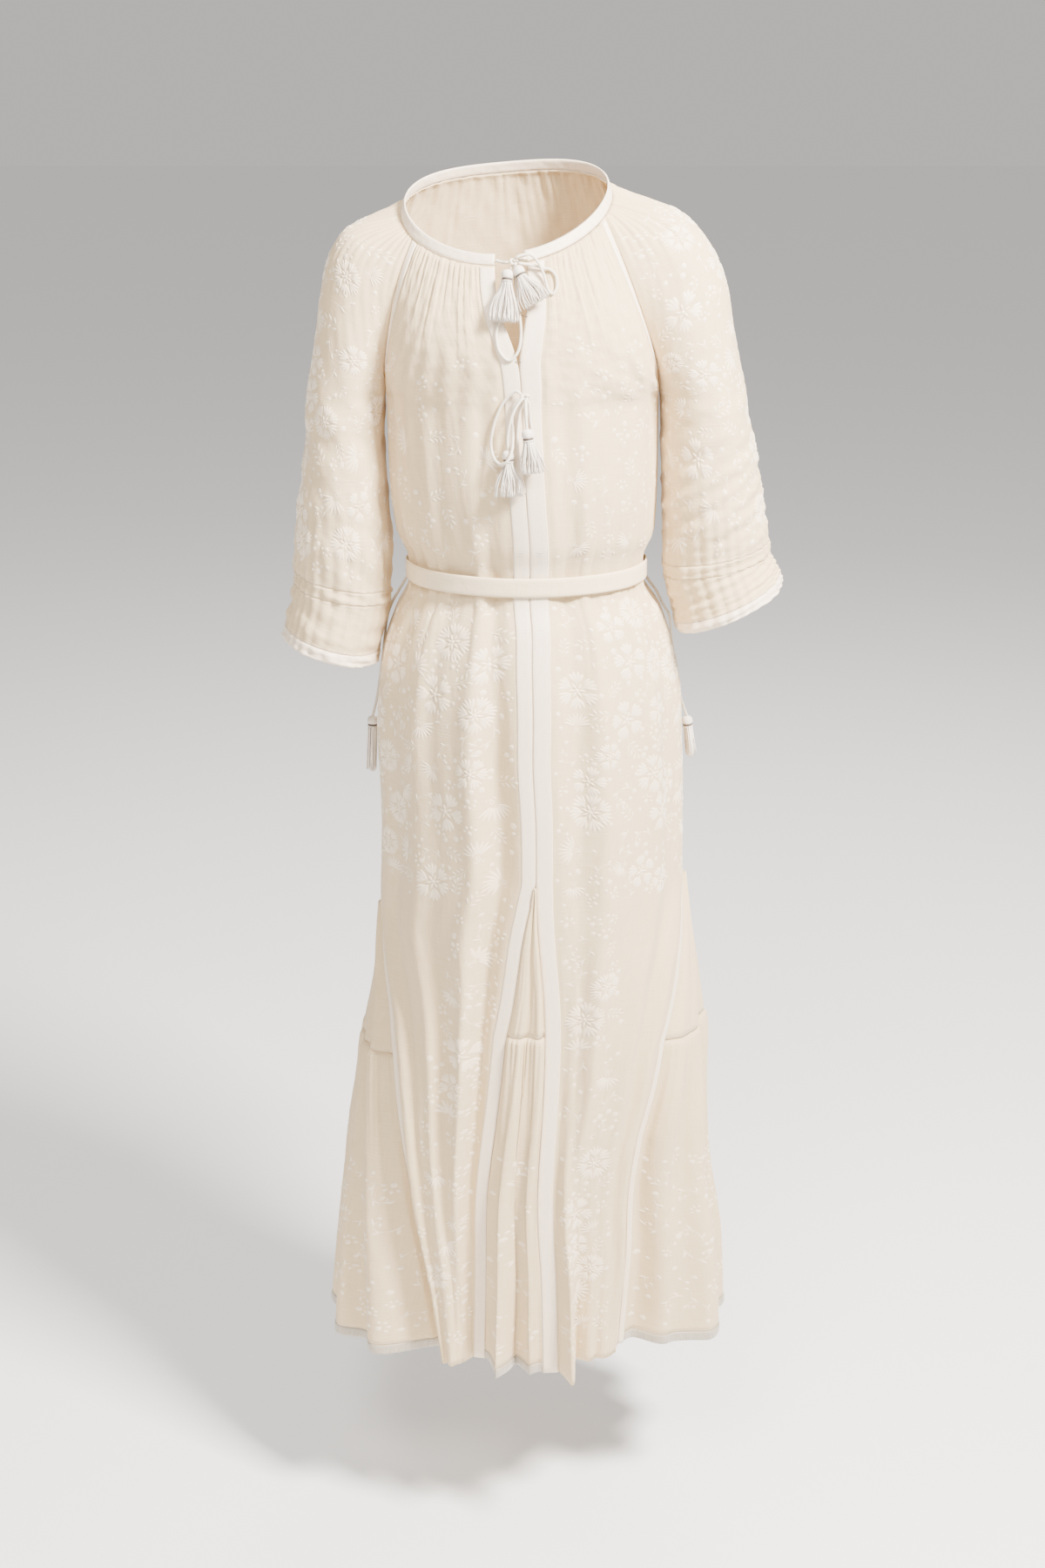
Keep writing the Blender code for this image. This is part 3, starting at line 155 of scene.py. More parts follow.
@dataclass(frozen=True)
class Body:
    """The smooth form under the cloth: a neck ring, a chest ring and rings below it."""

    chest_z: float = -0.175
    hem_z: float = -1.250
    belt_z: float = -0.359
    neck_x: float = -0.016
    neck_half: float = 0.105
    neck_front: float = -0.095
    neck_back: float = 0.065
    neck_z_back: float = 0.036
    neck_drop: float = 0.076
    neck_tilt: float = 0.0085
    neck_shape: float = 1.6
    # Height, left, right, front and back of each ring
    rings: tuple[tuple[float, ...], ...] = (
        (-0.175, -0.140, 0.140, -0.120, 0.100),
        (-0.260, -0.138, 0.140, -0.126, 0.096),
        (-0.316, -0.131, 0.138, -0.120, 0.090),
        (-0.346, -0.119, 0.127, -0.110, 0.084),
        (-0.372, -0.119, 0.127, -0.110, 0.084),
        (-0.405, -0.134, 0.146, -0.124, 0.100),
        (-0.447, -0.148, 0.160, -0.136, 0.114),
        (-0.493, -0.154, 0.168, -0.144, 0.122),
        (-0.540, -0.157, 0.171, -0.148, 0.127),
        (-0.610, -0.154, 0.175, -0.152, 0.134),
        (-0.710, -0.157, 0.179, -0.156, 0.141),
        (-0.815, -0.166, 0.197, -0.159, 0.148),
        (-0.920, -0.186, 0.209, -0.162, 0.154),
        (-1.030, -0.205, 0.212, -0.164, 0.160),
        (-1.147, -0.219, 0.230, -0.166, 0.165),
        (-1.260, -0.2275, 0.239, -0.168, 0.168),
    )
    # How steeply the yoke leaves the neck at the middle and at the sides, and how it meets the chest
    yoke_lean: tuple[float, float] = (0.35, 0.62)
    yoke_reach: float = 0.055
    yoke_lift: tuple[float, float] = (0.060, 0.035)
    yoke_turn: float = 38.0
    # Neck angles where the raglan seams start, front and back
    raglan_front: tuple[float, float] = (62.0, 68.0)
    raglan_back: tuple[float, float] = (120.0, 117.0)

    def neck(self, angle: Array) -> Array:
        """Points of the neck ring at angles round the body."""
        turn = np.radians(angle)
        middle, half = (self.neck_front + self.neck_back) / 2, (self.neck_back - self.neck_front) / 2
        fall = ((1 + np.cos(turn)) / 2) ** self.neck_shape
        return np.stack(
            (
                self.neck_x + self.neck_half * np.sin(turn),
                middle - half * np.cos(turn),
                self.neck_z_back - self.neck_drop * fall + self.neck_tilt * np.sin(turn),
            ),
            axis=-1,
        )

    def ring(self, angle: Array, z: Array, out: Array | float = 0.0) -> Array:
        """Points of the rings below the chest, moved out along each ring's normal."""
        left, right, front, back = (table_curve(self.rings, k).at(z) for k in (1, 2, 3, 4))
        half_x, half_y = (right - left) / 2, (back - front) / 2
        sine, cosine = np.sin(np.radians(angle)), np.cos(np.radians(angle))
        length = np.sqrt((sine / half_x) ** 2 + (cosine / half_y) ** 2)
        x = (left + right) / 2 + half_x * sine + sine / half_x / length * out
        y = (front + back) / 2 - half_y * cosine - cosine / half_y / length * out
        return np.stack((x, y, z + 0 * x), axis=-1)

    def neck_angle(self, angle: Array, behind: bool) -> Array:
        """The neck angle above a chest angle: fronts and back gather into less than a quarter each."""
        right = angle >= 0
        side = np.where(right, 1, -1)
        if behind:
            seam = np.where(right, self.raglan_back[1], self.raglan_back[0])
            return side * (180 - (180 - np.abs(angle)) * (180 - seam) / 90)
        return side * np.abs(angle) * np.where(right, self.raglan_front[1], self.raglan_front[0]) / 90

    def yoke(self, angle: Array, share: Array, behind: bool) -> Array:
        """Fronts and back above the chest, from the neck ring down to the chest ring."""
        top = self.neck(self.neck_angle(angle, behind))
        foot = self.ring(angle, np.full(np.shape(angle), self.chest_z))
        side = np.sin(np.radians(angle)) ** 2
        lean = mix(*self.yoke_lean, side)
        turn = angle * self.yoke_turn / 90
        if behind:
            turn = np.copysign(180 - (180 - np.abs(angle)) * self.yoke_turn / 90, angle)
        turn = np.radians(turn)
        away = np.stack((lean * np.sin(turn), -lean * np.cos(turn), -np.sqrt(1 - lean**2)), axis=-1)
        forward = self.yoke_reach * side * (1 if behind else -1)
        lift = np.stack((0 * side, forward, mix(*self.yoke_lift, side)), axis=-1)
        s = share[..., None]
        rest = 1 - s
        near_top = rest**3 * top + 3 * rest**2 * s * (top + away * self.yoke_reach)
        return near_top + 3 * rest * s**2 * (foot + lift) + s**3 * foot


BODY = Body()


class Cloth:
    """A surface with a place across and a place down, and what stands out of it."""

    name: str
    low: float = 0.0
    high: float = 1.0
    step: float = 0.004

    def bare(self, across: Array, down: Array) -> Array:
        """Points of the smooth surface."""
        raise NotImplementedError

    def relief(self, across: Array, down: Array) -> Array:
        """How far gathers and creases stand out of the smooth surface."""
        return np.zeros(np.broadcast(across, down).shape)

    def outward(self, points: Array, down: Array) -> Array:
        """Rough directions away from the inside, which settle the normals' sign."""
        return points - np.stack((0 * points[..., 0], 0 * points[..., 1], points[..., 2] - 0.05), axis=-1)

    def _normal(self, shape: Callable[[Array, Array], Array], across: Array, down: Array) -> Array:
        """Normals of a surface by differences, pointing outward."""
        across, down = np.broadcast_arrays(across, down)
        left, right = np.maximum(across - self.step, self.low), np.minimum(across + self.step, self.high)
        up, below = np.maximum(down - self.step, 0.0), down + self.step
        wide = shape(right, down) - shape(left, down)
        tall = shape(across, below) - shape(across, up)
        normal = unit(np.cross(wide, tall))
        facing = np.sum(normal * self.outward(self.bare(across, down), down), axis=-1, keepdims=True)
        return np.where(facing < 0, -normal, normal)

    def normal(self, across: Array, down: Array) -> Array:
        """Normals of the smooth surface."""
        return self._normal(self.bare, across, down)

    def point(self, across: Array, down: Array) -> Array:
        """Points of the dressed surface, gathers and creases included."""
        return self.bare(across, down) + self.normal(across, down) * self.relief(across, down)[..., None]

    def lie_on(self, across: Array, down: Array, lift: Array | float) -> Array:
        """Points a little above the dressed surface."""
        points = self.point(across, down)
        return points + self._normal(self.point, across, down) * np.asarray(lift)[..., None]

    def measure(self, count: int = 240) -> tuple[Array, Array, Array]:
        """Places down the middle, the distance to each, and the row's length there."""
        raise NotImplementedError

    def spot(self, sideways: Array, distance: Array) -> tuple[Array, Array]:
        """Turns distances in metres, from the middle line and from the top, into places."""
        raise NotImplementedError


@dataclass
class Panel(Cloth):
    """A front, the back or a godet, from seam to seam."""

    name: str
    first: tuple[tuple[float, float], ...]
    last: tuple[tuple[float, float], ...]
    folds: tuple[tuple[float, ...], ...]
    strip_first: float = 0.0
    strip_last: float = 0.0
    slit: float | None = None
    behind: bool = False
    gathers: int = 0
    gather_depth: float = 3.0 * MM
    seed: int = 1
    tier: float | None = None
    tier_gathers: int = 0
    tier_depth: float = 3.4 * MM
    pipe_depth: float = 5.5 * MM
    belt_pleats: int = 9
    belt_depth: float = 3.2 * MM
    # Share of the width that keeps clear of the seams, and the widest share of an edge strip
    seam_share: float = 0.03
    strip_share: float = 0.3
    # Waves across and down, and depth, of the drape and of larger and smaller crumples
    drape: tuple[float, float, float] = (4.2, 2.1, 1.5 * MM)
    crumple: tuple[float, float, float] = (11.0, 9.0, 0.5 * MM)
    small: tuple[float, float, float] = (25.0, 24.0, 0.16 * MM)
    fold_heights: tuple[float, ...] = (-0.175, -0.359, -0.540, -0.870, -1.250)
    widths: tuple[Array, Array] | None = field(default=None, repr=False)

    def __post_init__(self) -> None:
        """Works out how long the rows are at many heights."""
        self.low = -1.0 if self.strip_first else 0.0
        self.high = 2.0 if self.strip_last else 1.0
        levels = np.linspace(0, 1 + BODY.chest_z - BODY.hem_z + 0.01, 280)
        shares = np.linspace(0, 1, 25)
        grid = self._smooth(*np.meshgrid(shares, levels))
        self.widths = (levels, np.linalg.norm(np.diff(grid, axis=1), axis=-1).sum(axis=1))

    def _seam(self, seam: tuple[tuple[float, float], ...], z: Array) -> Array:
        """Angles of a seam, straight between its points."""
        rows = sorted(seam)
        return np.interp(z, [r[0] for r in rows], [r[1] for r in rows])

    def _smooth(self, share: Array, level: Array, out: Array | float = 0.0) -> Array:
        """Points at shares of the way across."""
        z = BODY.chest_z - np.maximum(level - 1, 0)
        first, last = self._seam(self.first, z), self._seam(self.last, z)
        if self.slit is not None:
            first = np.where(level < 1, mix(self.slit, first, ease(level / 0.8)), first)
        if self.behind:
            last = last - 360
        angle = mix(first, last, share)
        angle = np.where(angle < -180, angle + 360, angle)
        above = BODY.yoke(angle, clamp(level), self.behind)
        return np.where((level < 1)[..., None], above, BODY.ring(angle, z, out))

    def width(self, level: Array) -> Array:
        """The length of the rows at levels."""
        return np.interp(level, *self.widths)

    def _inside(self, width: Array) -> tuple[Array, Array]:
        """The shares where the edge strips end, by the row's length."""
        low = np.minimum(self.strip_first / width, self.strip_share)
        return low, 1 - np.minimum(self.strip_last / width, self.strip_share)

    def share(self, across: Array, level: Array) -> Array:
        """Share of the way across for a place; -1 to 0 and 1 to 2 are the edge strips."""
        low, high = self._inside(self.width(level))
        inside = mix(low, high, across)
        past = high + (1 - high) * (across - 1)
        return np.where(across < 0, low * (1 + across), np.where(across > 1, past, inside))

    def fold(self, across: Array, level: Array) -> Array:
        """How far the large folds stand out of the smooth ring."""
        z = BODY.chest_z - (level - 1)
        stops = np.array([fold[0] for fold in self.folds])
        curves = [table_curve(list(zip(self.fold_heights, fold[1:])), 1, MM) for fold in self.folds]
        depths = np.stack([curve.at(z) for curve in curves])
        place = clamp(across)
        i = np.clip(np.searchsorted(stops, place, "right") - 1, 0, len(stops) - 2)
        a = np.take_along_axis(depths, i[None], axis=0)[0]
        b = np.take_along_axis(depths, i[None] + 1, axis=0)[0]
        share = (place - stops[i]) / (stops[i + 1] - stops[i])
        return np.where(level <= 1, 0.0, mix(a, b, (1 - np.cos(np.pi * share)) / 2))

    def bare(self, across: Array, down: Array) -> Array:
        """Points of the smooth surface with its large folds."""
        across, down = np.broadcast_arrays(np.asarray(across, float), np.asarray(down, float))
        return self._smooth(self.share(across, down), down, self.fold(across, down))

    def relief(self, across: Array, down: Array) -> Array:
        """Gathers under the band and at the belt, tier gathers and soft creases."""
        across, down = np.broadcast_arrays(np.asarray(across, float), np.asarray(down, float))
        inside = ease(across / self.seam_share) * ease((1 - across) / self.seam_share)
        total = np.zeros(across.shape)
        if self.gathers:
            total += self._neck_gathers(across, down)
            total += self._belt_gathers(across, down)
        if self.tier is not None:
            total += self._tier_gathers(across, down) + self._tier_pipes(across, down)
        creases = self._crease(self.drape, across, down, 0) * ease((down - 0.45) / 0.4)
        creases += self._crease(self.crumple, across, down, 7) + self._crease(self.small, across, down, 11)
        return (total + creases * (1.0 if self.gathers else 0.8)) * inside

    def _crease(self, waves: tuple[float, float, float], across: Array, down: Array, more: int) -> Array:
        """Soft unevenness with its waves across and down and its depth."""
        return ripple(across * waves[0], down * waves[1], self.seed + more) * waves[2]

    def _neck_gathers(self, across: Array, down: Array) -> Array:
        """Rounded gathers with narrow valleys, each with its own depth and length."""
        wander = 0.16 * np.sin(across * 17 + self.seed) * ease(down / 0.5)
        uneven = 0.34 * np.sin(across * 41 + self.seed) + 0.22 * np.sin(across * 83 + 2 * self.seed)
        phase = across * self.gathers + wander + uneven
        own, length = hashed(phase, self.seed), hashed(phase, self.seed + 31)
        fade = ease(down / 0.03) * (1 - ease((down - 0.05) / (0.20 + 0.75 * length**1.5)))
        return self.gather_depth * (0.45 + 0.55 * own) * fade * np.abs(np.sin(np.pi * phase)) ** 0.5

    def _belt_gathers(self, across: Array, down: Array) -> Array:
        """Small pleats that the belt draws in, longer below it than above."""
        z = BODY.chest_z - (down - 1)
        phase = across * self.belt_pleats + 0.25 * np.sin(across * 11 + self.seed)
        own = hashed(phase, self.seed + 5)
        above = 1 - ease((z - BODY.belt_z) / (0.035 + 0.05 * own))
        below = 1 - ease((BODY.belt_z - z) / (0.06 + 0.12 * own))
        near = np.where(z > BODY.belt_z, above, below)
        valley = np.abs(np.sin(np.pi * phase)) ** 0.8 - 0.6
        return self.belt_depth * (0.3 + 0.7 * own) * near * valley * ease((down - 1) / 0.05)

    def _tier_gathers(self, across: Array, down: Array) -> Array:
        """Short gathers under a godet's tier seam."""
        drop = self.tier - (BODY.chest_z - (down - 1))
        phase = across * self.tier_gathers
        own = hashed(phase, self.seed + 3)
        ending = 1 - ease((drop - 0.004) / (0.045 + 0.20 * own**1.5))
        fade = np.where(drop > 0, ease(drop / 0.004) * ending, 0.0)
        return self.tier_depth * (0.5 + 0.5 * own) * fade * np.abs(np.sin(np.pi * phase)) ** 0.6

    def _tier_pipes(self, across: Array, down: Array) -> Array:
        """Soft upright folds that open out from a godet's tier seam to its hem."""
        drop = self.tier - (BODY.chest_z - (down - 1))
        pipes = ripple(across * self.tier_gathers / 5, down * 1.1, self.seed + 19)
        return self.pipe_depth * pipes * ease(drop / 0.10)

    def measure(self, count: int = 240) -> tuple[Array, Array, Array]:
        """Places down the middle, the distance to each, and the row's length there."""
        start = 0.0 if self.gathers else 1 + BODY.chest_z - self.first[0][0] + 5 * MM
        levels = np.linspace(start, 1 + BODY.chest_z - BODY.hem_z, count)
        line = self.bare(np.full(count, 0.5), levels)
        return levels, run_along(line), self.width(levels)

    def spot(self, sideways: Array, distance: Array) -> tuple[Array, Array]:
        """Turns distances in metres, from the middle line and from the top, into places."""
        levels, lengths, widths = self.measure()
        level = np.interp(distance, lengths, levels)
        width = np.interp(level, levels, widths)
        low, high = self._inside(width)
        return (0.5 + sideways / width - low) / (high - low), level


@dataclass
class Sleeve(Cloth):
    """A raglan sleeve: across runs from the front seam (-1) over the top (0) to the back (1)."""

    side: Side = Side.LEFT
    front: Panel | None = None
    back: Panel | None = None
    # Share of the raglan's length, reach and height of the shoulder line
    shoulder: tuple[tuple[float, float, float], ...] = ()
    # Inner and outer reach, inner and outer height, half depth and wave of each ring, in millimetres
    rings: tuple[tuple[float, ...], ...] = ()
    head_gathers: int = 22
    waves: int = 26
    gather_depth: float = 2.6 * MM
    crease_depth: float = 1.6 * MM
    small_depth: float = 0.35 * MM
    seam_gap: float = 0.48 * MM
    bulge: float = 0.060
    seed: int = 3
    step: float = 0.01

    def __post_init__(self) -> None:
        """Sets the limits across."""
        self.name = f"sleeve_{self.side.word}"
        self.low, self.high = -1.0, 1.0

    def _raglan(self, share: Array, behind: bool) -> Array:
        """The seam between body and sleeve."""
        if behind:
            column = 0.0 if self.side is Side.LEFT else 1.0
            seam = self.back.bare(column, share)
        else:
            seam = self.front.bare(2.0, share)
        clear = self.side.value * self.seam_gap * ease(share * 1.5)
        return seam + np.stack((clear, 0 * share, 0 * share), axis=-1)

    def _neck_pull(self, across: Array) -> Array:
        """What brings the top edge onto the neck ring."""
        s = self.side.value
        k = 0 if self.side is Side.LEFT else 1
        bend = np.abs(across)
        seam = np.where(across > 0, BODY.raglan_back[k], BODY.raglan_front[k])
        top, edge = BODY.neck(s * 90.0), BODY.neck(s * seam)
        share = np.stack((bend**2, bend, bend**2), axis=-1)
        return BODY.neck(s * mix(90, seam, bend)) - mix(top, edge, share)

    def _head(self, across: Array, level: Array) -> Array:
        """Points between the neck and the underarm."""
        bend, sign = np.abs(across), np.where(across < 0, -1, 1)
        start = BODY.neck(self.side.value * 90.0)
        keys = (0.0,) + tuple(r[0] for r in self.shoulder)
        reach = Curve(keys, (abs(start[0]),) + tuple(r[1] for r in self.shoulder)).at(level)
        height = Curve(keys, (start[2],) + tuple(r[2] for r in self.shoulder)).at(level)
        middle_y = BODY.ring(90.0, BODY.chest_z)[1]
        edge = np.where((across > 0)[..., None], self._raglan(level, True), self._raglan(level, False))
        share = mix(bend**2, (1 - np.cos(np.pi * bend)) / 2, ease(level))
        centre = mix(mix(start[1], middle_y, level), middle_y, level)
        bulge = self.bulge * level**1.3 * np.sin(np.pi * bend)
        y = centre + sign * (np.abs(edge[..., 1] - centre) * bend + bulge)
        x = mix(self.side.value * reach, edge[..., 0], share)
        point = np.stack((x, y, mix(height, edge[..., 2], share)), axis=-1)
        return point + self._neck_pull(across) * (1 - ease(level / 0.5))[..., None]

    def _ring_curve(self, column: int) -> Curve:
        """One column of the rings, in metres, against their number."""
        keys = tuple(float(k) for k in range(len(self.rings)))
        return Curve(keys, tuple(ring[column] * MM for ring in self.rings))

    def _tube(self, across: Array, level: Array) -> Array:
        """Points below the underarm."""
        bend, sign = np.abs(across), np.where(across < 0, -1, 1)
        inner, outer, z_inner, z_outer, depth = (self._ring_curve(k).at(level - 1) for k in range(5))
        share = (1 - np.cos(np.pi * bend)) / 2
        x = self.side.value * mix(outer, inner, share)
        y = BODY.ring(90.0, BODY.chest_z)[1] + sign * depth * np.sin(np.pi * bend)
        return np.stack((x, y, mix(z_outer, z_inner, share)), axis=-1)

    def bare(self, across: Array, down: Array) -> Array:
        """Points of the smooth sleeve."""
        across, down = np.broadcast_arrays(np.asarray(across, float), np.asarray(down, float))
        head, tube_part = self._head(across, clamp(down)), self._tube(across, np.maximum(down, 1))
        return np.where((down <= 1)[..., None], head, tube_part)

    def outward(self, points: Array, down: Array) -> Array:
        """Directions away from the sleeve's middle line."""
        top = self.bare(np.zeros(np.shape(down)), down)
        edges = [self.bare(np.full(np.shape(down), end), down) for end in (-1.0, 1.0)]
        low = (edges[0] + edges[1]) / 2
        share = np.where(down < 1, 1 - ease(down), 0.0)[..., None]
        drop = share * np.array((self.side.value * 0.03, 0, 0.06))
        return points - ((top + low) / 2 - drop)

    def relief(self, across: Array, down: Array) -> Array:
        """Gathers at the neck, soft creases at the elbow and drawn waves about the casing."""
        across, down = np.broadcast_arrays(np.asarray(across, float), np.asarray(down, float))
        phase = (across + 1) / 2 * self.head_gathers + 0.08 * np.sin(across * 9 + self.seed)
        own, length = hashed(phase, self.seed), hashed(phase, self.seed + 17)
        fade = ease(down / 0.04) * (1 - ease((down - 0.05) / (0.18 + 0.50 * length)))
        head = self.gather_depth * (0.45 + 0.55 * own) * fade * np.abs(np.sin(np.pi * phase)) ** 0.6
        depth = self._ring_curve(5).at(down - 1)
        inner = 1 - 0.75 * ease((np.abs(across) - 0.75) / 0.2)
        warp = 0.25 * np.sin(across * 13 + self.seed) * (1 - across**2)
        wave_phase = (across + 1) * self.waves / 2 + warp
        tall = 0.55 + 0.45 * hashed(wave_phase, self.seed + 9)
        wave = depth * inner * tall * np.abs(np.sin(np.pi * wave_phase)) ** 0.9
        slanted = ripple(across * 2.6 + down * 0.8, down * 1.3, self.seed + 2)
        crease = slanted * self.crease_depth * ease((down - 0.5) / 0.6)
        small = ripple(across * 9, down * 3.6, self.seed + 4) * self.small_depth
        edge = ease((1 - np.abs(across)) / 0.06)
        return np.where(down < 1, (head + crease + small) * edge, wave + (crease + small) * edge)

    def measure(self, count: int = 240) -> tuple[Array, Array, Array]:
        """Places down the top line, the distance to each, and the girth there."""
        levels = np.linspace(0.0, float(len(self.rings)), count)
        line = self.bare(np.zeros(count), levels)
        rows = self.bare(*np.meshgrid(np.linspace(-1, 1, 33), levels))
        girth = np.linalg.norm(np.diff(rows, axis=1), axis=-1).sum(axis=1)
        return levels, run_along(line), girth

    def spot(self, sideways: Array, distance: Array) -> tuple[Array, Array]:
        """Turns distances in metres, from the top line and from the neck, into places."""
        levels, lengths, girths = self.measure()
        level = np.interp(distance, lengths, levels)
        return sideways / np.interp(level, levels, girths) * 2, level


class Mesh:
    """Gathers points, faces and texture places, and makes one object of them."""

    def __init__(self) -> None:
        """Starts empty."""
        self.points: list[Array] = []
        self.faces: list[Array] = []
        self.places: list[Array] = []
        self.count = 0

    def grid(self, points: Array, places: Array, ring: bool = False, flip: bool = False) -> None:
        """Adds a grid of quads.

        Args:
            points: Rows by columns by three.
            places: Rows by columns by two, texture places in metres.
            ring: Whether the last column meets the first.
            flip: Whether the faces turn the other way.
        """
        rows, columns = points.shape[:2]
        index = np.arange(rows * columns).reshape(rows, columns) + self.count
        right = np.roll(index, -1, axis=1) if ring else index[:, 1:]
        left = index if ring else index[:, :-1]
        quads = np.stack((left[:-1], left[1:], right[1:], right[:-1]), axis=-1).reshape(-1, 4)
        self.faces.append(quads[:, ::-1] if flip else quads)
        self.points.append(points.reshape(-1, 3))
        self.places.append(places.reshape(-1, 2))
        self.count += rows * columns

    def shell(self, outer: Array, inner: Array, places: Array, joined: int | None = None) -> None:
        """Adds a closed wall between an outer and an inner grid.

        Args:
            outer: The outer points, rows by columns.
            inner: The inner points.
            places: The texture places.
            joined: The first row whose two ends meet; None where the ends never meet.
        """
        down, across = outer[1:, :-1] - outer[:-1, :-1], outer[:-1, 1:] - outer[:-1, :-1]
        if np.sum(np.cross(down, across) * (outer - inner)[:-1, :-1]) < 0:
            outer, inner, places = outer[:, ::-1], inner[:, ::-1], places[:, ::-1]
        self.grid(outer, places)
        self.grid(inner, places, flip=True)
        self.grid(np.stack((inner[0], outer[0])), np.stack((places[0], places[0])))
        self.grid(np.stack((outer[-1], inner[-1])), np.stack((places[-1], places[-1])))
        open_rows = slice(0, len(outer) if joined is None else joined + 1)
        if joined != 0:
            for column, first, second in ((0, inner, outer), (-1, outer, inner)):
                edge = np.stack((first[open_rows, column], second[open_rows, column]), axis=1)
                self.grid(edge, np.stack((places[open_rows, column],) * 2, axis=1))

    def patches(self, points: Array, places: Array) -> None:
        """Adds many small open grids of one size at once.

        Args:
            points: Patches by rows by columns by three.
            places: Patches by rows by columns by two.
        """
        count, rows, columns = points.shape[:3]
        index = np.arange(count * rows * columns).reshape(count, rows, columns) + self.count
        corners = (index[:, :-1, :-1], index[:, 1:, :-1], index[:, 1:, 1:], index[:, :-1, 1:])
        self.faces.append(np.stack(corners, axis=-1).reshape(-1, 4))
        self.points.append(points.reshape(-1, 3))
        self.places.append(places.reshape(-1, 2))
        self.count += count * rows * columns

    def build(self, name: str, material: bpy.types.Material, smooth: bool = True) -> bpy.types.Object:
        """Makes the object.

        Args:
            name: The object's name.
            material: Its material.
            smooth: Whether its faces are shaded smooth.

        Returns:
            The object, welded and linked to the scene.
        """
        points, places = np.concatenate(self.points), np.concatenate(self.places)
        quads = np.concatenate(self.faces)
        data = bpy.data.meshes.new(name)
        data.vertices.add(len(points))
        data.vertices.foreach_set("co", points.astype(np.float32).ravel())
        data.loops.add(quads.size)
        data.loops.foreach_set("vertex_index", quads.astype(np.int32).ravel())
        data.polygons.add(len(quads))
        data.polygons.foreach_set("loop_start", np.arange(0, quads.size, 4, dtype=np.int32))
        layer = data.uv_layers.new(name="cloth")
        layer.data.foreach_set("uv", places[quads.ravel()].astype(np.float32).ravel())
        data.update()
        weld(data)
        data.polygons.foreach_set("use_smooth", np.full(len(data.polygons), smooth))
        data.materials.append(material)
        thing = bpy.data.objects.new(name, data)
        bpy.context.scene.collection.objects.link(thing)
        return thing


def weld(data: bpy.types.Mesh, reach: float = 0.002 * MM) -> None:
    """Merges the points that lie on each other, so that walls and tubes close."""
    work = bmesh.new()
    work.from_mesh(data)
    bmesh.ops.remove_doubles(work, verts=work.verts, dist=reach)
    work.to_mesh(data)
    work.free()


def cloth_places(points: Array) -> Array:
    """Texture places in metres, by the lengths along rows and down the middle column."""
    wide = np.linalg.norm(np.diff(points, axis=1), axis=-1)
    u = np.concatenate((np.zeros((len(points), 1)), np.cumsum(wide, axis=1)), axis=1)
    u = u - u[:, -1:] / 2
    v = run_along(points[:, points.shape[1] // 2])
    return np.stack((u, np.broadcast_to(-v[:, None], u.shape)), axis=-1)


def cloth_shell(
    cloth: Cloth, across: Array, down: Array, thick: float, material: bpy.types.Material, name: str,
    joined: float | None = None,
) -> bpy.types.Object:
    """Makes the thin shell of a cloth surface.

    Args:
        cloth: The surface.
        across: Places across, rising.
        down: Places down, rising.
        thick: The wall's thickness.
        material: The shell's material.
        name: The object's name.
        joined: The place down from which the two ends meet, where they do.

    Returns:
        The shell's object.
    """
    grid = np.meshgrid(across, down)
    outer = cloth.point(*grid)
    wide, tall = np.gradient(outer, axis=1), np.gradient(outer, axis=0)
    row = None if joined is None else int(np.argmin(np.abs(down - joined)))
    if row is not None:
        wide[row:, 0] = wide[row:, -1] = (outer[row:, 1] - outer[row:, -2]) / 2
    normal = unit(np.cross(wide, tall))
    facing = np.sum(normal * cloth.normal(*grid), axis=-1, keepdims=True)
    normal = np.where(facing < 0, -normal, normal)
    mesh = Mesh()
    mesh.shell(outer, outer - normal * thick, cloth_places(outer), row)
    return mesh.build(name, material)


class Signal:
    """A value in a shader that takes part in Python's arithmetic."""

    def __init__(self, shader: "Shader", socket: bpy.types.NodeSocket) -> None:
        """Wraps a socket."""
        self.shader, self.socket = shader, socket

    def _math(self, operation: str, first: "Signal | float", second: "Signal | float") -> "Signal":
        """Adds a Math node."""
        return self.shader.node("ShaderNodeMath", {"operation": operation}, {0: first, 1: second})

    def __add__(self, other: "Signal | float") -> "Signal":
        """self + other."""
        return self._math("ADD", self, other)

    def __radd__(self, other: float) -> "Signal":
        """other + self."""
        return self._math("ADD", other, self)

    def __sub__(self, other: "Signal | float") -> "Signal":
        """self - other."""
        return self._math("SUBTRACT", self, other)

    def __rsub__(self, other: float) -> "Signal":
        """other - self."""
        return self._math("SUBTRACT", other, self)

    def __mul__(self, other: "Signal | float") -> "Signal":
        """self * other."""
        return self._math("MULTIPLY", self, other)

    def __rmul__(self, other: float) -> "Signal":
        """other * self."""
        return self._math("MULTIPLY", other, self)

    def ramp(self, low: float, high: float) -> "Signal":
        """Maps low..high to 0..1, smoothly and clamped."""
        settings = {"interpolation_type": "SMOOTHSTEP"}
        inputs = {"Value": self, "From Min": low, "From Max": high}
        return self.shader.node("ShaderNodeMapRange", settings, inputs)


